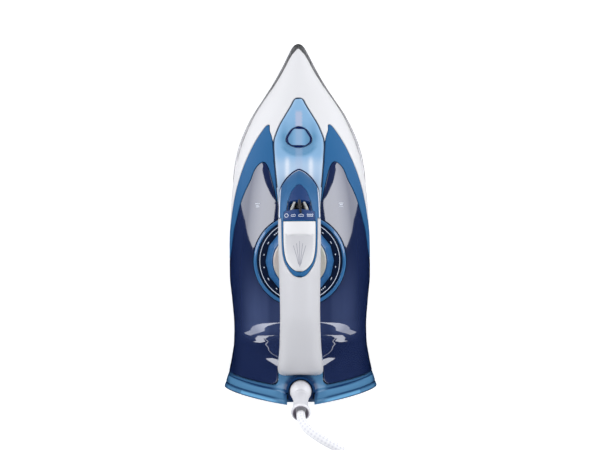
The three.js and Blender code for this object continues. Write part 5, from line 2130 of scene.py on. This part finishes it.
PIECES = (
    # name, shape, look, body, slot and the CAD node that it replaces
    ("sole_plate", soleplate, "sole", "housing", "soleplate_metal", "soleplate"),
    ("white_cover", front_cover, "white", "housing", "white_plastic", "front_cover"),
    ("clear_nose_cover", nose_cover, "pale_blue", "housing", "pale_blue_clear", "nose_cover"),
    ("filler_flap", filler_cap, "pale_blue", "filler_cap", "pale_blue_clear", "filler_cap"),
    ("filler_flap_rim", filler_rim, "navy_rim_and_shadow_line", "filler_cap", "navy_clear", None),
    ("clear_tank", water_tank, "navy", "housing", "navy_clear", "water_tank"),
    ("level_marks", level_marks, "print", "housing", "white_plastic", None),
    ("nose_cover_seam", nose_cover_seam, "slate", "housing", "rubber", None),
    ("heel_shell", heel_cover, "heel", "housing", "heel_blue_clear", "heel_cover"),
    ("collar_ring", dial_collar, "collar", "housing", "pale_blue_clear", "dial_collar"),
    ("dial_disc", dial_disc, "navy_ring", "temperature_dial", "blue_plastic", "temperature_dial"),
    ("dial_line", dial_line, "print", "temperature_dial", "white_plastic", None),
    ("dial_marks", dial_marks, "print", "temperature_dial", "white_plastic", None),
    ("dial_pearl", dial_cap, "pearl", "temperature_dial", "pearl_plastic", "dial_cap"),
    ("handle_top", handle_upper, "grip_white", "housing", "white_plastic", "handle_upper_shell"),
    ("handle_grip", handle_lower, "blue", "housing", "blue_plastic", "handle_lower_shell"),
    ("bezel_line", bezel_line, "bezel_white", "housing", "white_plastic", None),
    ("bezel_shadow_line", bezel_shadow_line, "navy_rim_and_shadow_line", "housing", "rubber", None),
    ("bezel", handle_bezel, "blue", "housing", "blue_plastic", "handle_bezel"),
    ("arched_field", arched_field, "deep_blue", "housing", "blue_plastic", None),
    ("foot_shadow_line", foot_shadow_line, "navy_rim_and_shadow_line", "housing", "rubber", None),
    ("steam_icons", steam_icons, "print", "housing", "white_plastic", None),
    ("window_well", selector_bed, "black", "housing", "black_gloss", "selector_bed"),
    ("window_cheeks", window_bars, "pearl_bars", "housing", "pearl_plastic", None),
    ("steam_lever", steam_selector, "shield", "steam_selector", "black_gloss", "steam_selector"),
    ("trigger_cap", steam_trigger, "trigger", "steam_trigger", "white_plastic", "steam_trigger"),
    ("trigger_fan", trigger_fan, "grey_print", "steam_trigger", "white_plastic", None),
    ("guard_mouth", guard_mouth, "mouth_shade", "cord_swivel", "rubber", None),
    ("swivel_ball", cord_ball, "plug", "cord_swivel", "white_plastic", "cord_ball"),
)
PAINTED = {
    "clear_nose_cover": {"light_and_shade": cover_light_and_shade, "crest_highlight": centre_crest_highlight},
    "filler_flap": {"light_and_shade": cap_light_and_shade, "crest_highlight": centre_crest_highlight},
    "clear_tank": {"depth": tank_painted_light},
    "heel_shell": {"band": heel_tone_and_shade},
    "trigger_cap": {"pad": pad_shade},
}


def build_pieces(looks):
    for name, shape, look, body, slot, node in PIECES:
        made = piece(name, shape(), looks[look], body, [node] if node else ())
        for attribute, value_at in PAINTED.get(name, {}).items():
            paint(made, attribute, value_at)
    piece("dial_knob", dial_knob(), looks["knob_blue"], "temperature_dial", crease=16)
    for name, side in SIDES:
        trim = side_trim(side)
        piece(f"trim_{name}", trim, looks["blue"], "housing", [f"side_trim_{name}"])
        screw = heel_screw(side * SCREW_X)
        piece(f"screw_{name}", screw, looks["steel"], "housing", [f"heel_screw_{name}"])


def build_cord(looks):
    guard = piece("bend_guard", cord_guard(), looks["plug"], "cord_swivel", ["cord_guard"])
    tie = piece("coil_strap", coil_tie(), looks["rubber"], "housing", ["coil_tie"])
    plug = piece("plug", plug_body(), looks["plug"], "housing", ["plug_body"])
    pins = [
        piece(f"pin_{name}", plug_pin(side), looks["brass"], "housing", [f"plug_pin_{name}"])
        for name, side in SIDES
    ]
    cord, path = make_cord(looks["braid"])
    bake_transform(cord)


make_camera()
looks = make_materials()
build_cord(looks)
make_studio()
make_cards()
make_floor()
build_pieces(looks)
dress_cad_nodes(looks)
